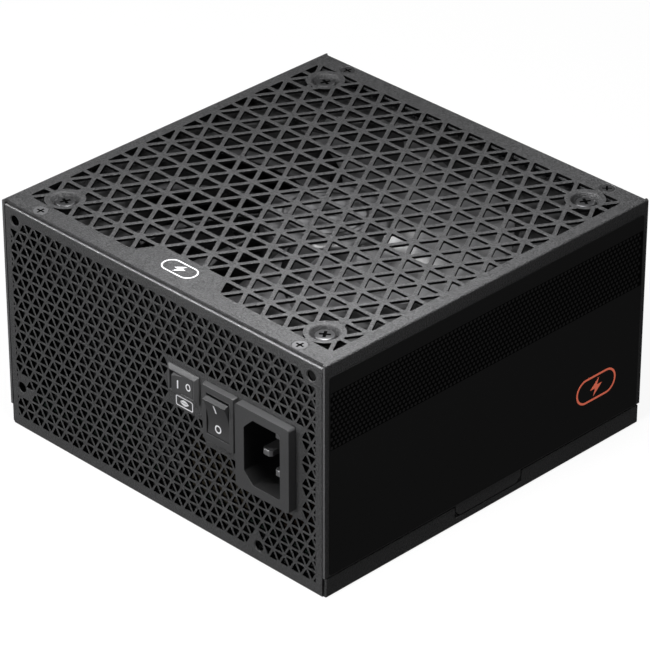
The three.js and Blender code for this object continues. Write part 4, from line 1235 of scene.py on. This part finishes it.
def makeSockets():
    s = socketRows
    mouth = case["half"] + s["proud"]
    bodies, pins = [], []
    for name, columns, x, z in s["sockets"]:
        dx, dz = socketHalf(columns)
        body = softened(block(name, (x - dx, s["back"], z - dz), (x + dx, mouth, z + dz)), 0.25)
        half = s["cell"] / 2
        places = [(x + (column - (columns - 1) / 2) * s["pitch"], 0.0, z + row * s["pitch"])
                  for column in range(columns) for row in (-0.5, 0.5)]
        cell = prism("cell", rectangle(-half, half, -half, half, 0.35, 2), -mouth - 1, -mouth + s["deep"], "XZ")
        cells = pointCloud("cells", places)
        grow(cells, trees["scatter"], {"Shape": cell, "Material": finishes["socket"]})
        combine(body, cells)
        latch = prism("latch", [(mouth - 4.5, z + dz - 0.1), (mouth - 0.3, z + dz - 0.1), (mouth - 0.3, z + dz + 0.25)],
                      x - 2.2, x + 2.2, "YZ")
        combine(body, latch, "UNION")
        contact = softened(block("contact", (-0.55, mouth - s["deep"] - 0.2, -0.55), (0.55, mouth - 1.8, 0.55)), 0.2)
        pointed = pointCloud("pins", places)
        grow(pointed, trees["scatter"], {"Shape": contact, "Material": finishes["nickel"]})
        discard(cell, contact)
        bodies.append(body)
        pins.append(pointed)
    settled(merged("outputSockets", bodies), finishes["socket"], "case",
            [name for name, *_ in s["sockets"]])
    settled(merged("outputPins", pins), finishes["nickel"], "case", ())


makeSockets()
print("sockets made")


# pieces inside that keep their shape

inside = {
    "board": ["main_board", "modular_board", "dc_dc_board"],
    "sheet": ["insulation_sheet"],
    "sleeve": ["bulk_capacitor_1", "bulk_capacitor_2", "output_capacitor_1", "output_capacitor_2", "fan_lead"],
    "tapePaintedShade": ["main_transformer", "standby_transformer", "x_capacitor"],
    "copperPaintedShade": ["pfc_inductor", "emi_choke_1", "emi_choke_2", "fan_stator"],
    "aluminium": ["primary_heatsink", "secondary_heatsink"],
    "moulded": ["bridge_rectifier", "inrush_relay"],
    "ferrite": ["rotor_magnet"],
    "bronze": ["fan_bearing"],
    "nickel": ["fan_shaft"],
}
for label, names in inside.items():
    for name in names:
        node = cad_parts[name]
        node.data.materials.clear()
        node.data.materials.append(finishes[label])
print("inside dressed")


# floor, light and camera

studio = {
    "floorSize": 6.0, "floorGlow": 0.9, "floorShade": 0.12, "skySeen": 1.0, "skyLight": 0.10,
}


def makeFloor():
    # a pale floor that stays bright to the camera and throws little light back at the case
    half = studio["floorSize"] / 2
    mesh = bpy.data.meshes.new("floor")
    mesh.from_pydata([(-half, -half, 0), (half, -half, 0), (half, half, 0), (-half, half, 0)], [], [(0, 1, 2, 3)])
    floor = newObject("floor", mesh)
    floor.location.z = -0.0002
    floor.visible_glossy = False
    floor.visible_diffuse = False
    material = bpy.data.materials.new("floor")
    material.use_nodes = True
    shader = material.node_tree.nodes["Principled BSDF"]
    shade, glow = studio["floorShade"], studio["floorGlow"]
    shader.inputs["Base Color"].default_value = (shade, shade, shade, 1)
    shader.inputs["Roughness"].default_value = 0.9
    shader.inputs["Specular IOR Level"].default_value = 0.0
    shader.inputs["Emission Color"].default_value = (1, 1, 1, 1)
    shader.inputs["Emission Strength"].default_value = glow
    mesh.materials.append(material)
    return floor


def placeLight(light, place, aim):
    scene.collection.objects.link(light)
    light.location = place
    light.visible_camera = False
    light.rotation_euler = (Vector(aim) - Vector(place)).to_track_quat("-Z", "Y").to_euler()
    return light


def areaLight(name, place, aim, size, power):
    data = bpy.data.lights.new(name, "AREA")
    data.shape = "RECTANGLE"
    data.size, data.size_y = size
    data.energy = power
    return placeLight(bpy.data.objects.new(name, data), place, aim)


def makeWorld():
    world = bpy.data.worlds.new("studio")
    world.use_nodes = True
    tree = world.node_tree
    tree.nodes.clear()
    seen = addNode(tree, "ShaderNodeBackground", {"Color": (1, 1, 1, 1), "Strength": studio["skySeen"]})
    lit = addNode(tree, "ShaderNodeBackground", {"Color": (1, 1, 1, 1), "Strength": studio["skyLight"]})
    path = tree.nodes.new("ShaderNodeLightPath")
    mix = addNode(tree, "ShaderNodeMixShader", {0: path.outputs["Is Camera Ray"], 1: lit, 2: seen})
    out = tree.nodes.new("ShaderNodeOutputWorld")
    tree.links.new(mix.outputs[0], out.inputs[0])
    scene.world = world


makeFloor()
makeWorld()
areaLight("nearCorner", (0.065, -0.078, 0.24), (0.06, -0.07, 0.086), (0.10, 0.10), 0.92)
areaLight("panelFill", (-0.15, -1.3, 0.2), (-0.02, -0.07, 0.04), (0.9, 0.5), 10.2)
areaLight("overhead", (-0.1, 0.1, 1.1), (0, 0, 0.08), (0.6, 0.6), 2.6)
areaLight("edgeLine", (-0.60, -0.52, 0.66), (0, -0.075, 0.084), (0.08, 0.3), 5.0)
areaLight("backFill", (0.1, 1.3, 0.9), (0, 0, 0.05), (1.0, 0.8), 3.8)

view = {
    "lens": 224.9, "sensor": 36, "near": 0.01, "from": (0.8257, -0.8240, 0.7292), "aim": (0.04633, -0.04633, 0.07677),
}
cameraData = bpy.data.cameras.new("camera")
cameraData.lens = view["lens"]
cameraData.sensor_width = view["sensor"]
cameraData.clip_start = view["near"]
camera = bpy.data.objects.new("camera", cameraData)
scene.collection.objects.link(camera)
camera.location = view["from"]
camera.rotation_euler = (Vector(view["aim"]) - camera.location).to_track_quat("-Z", "Y").to_euler()
scene.camera = camera
print("studio made")
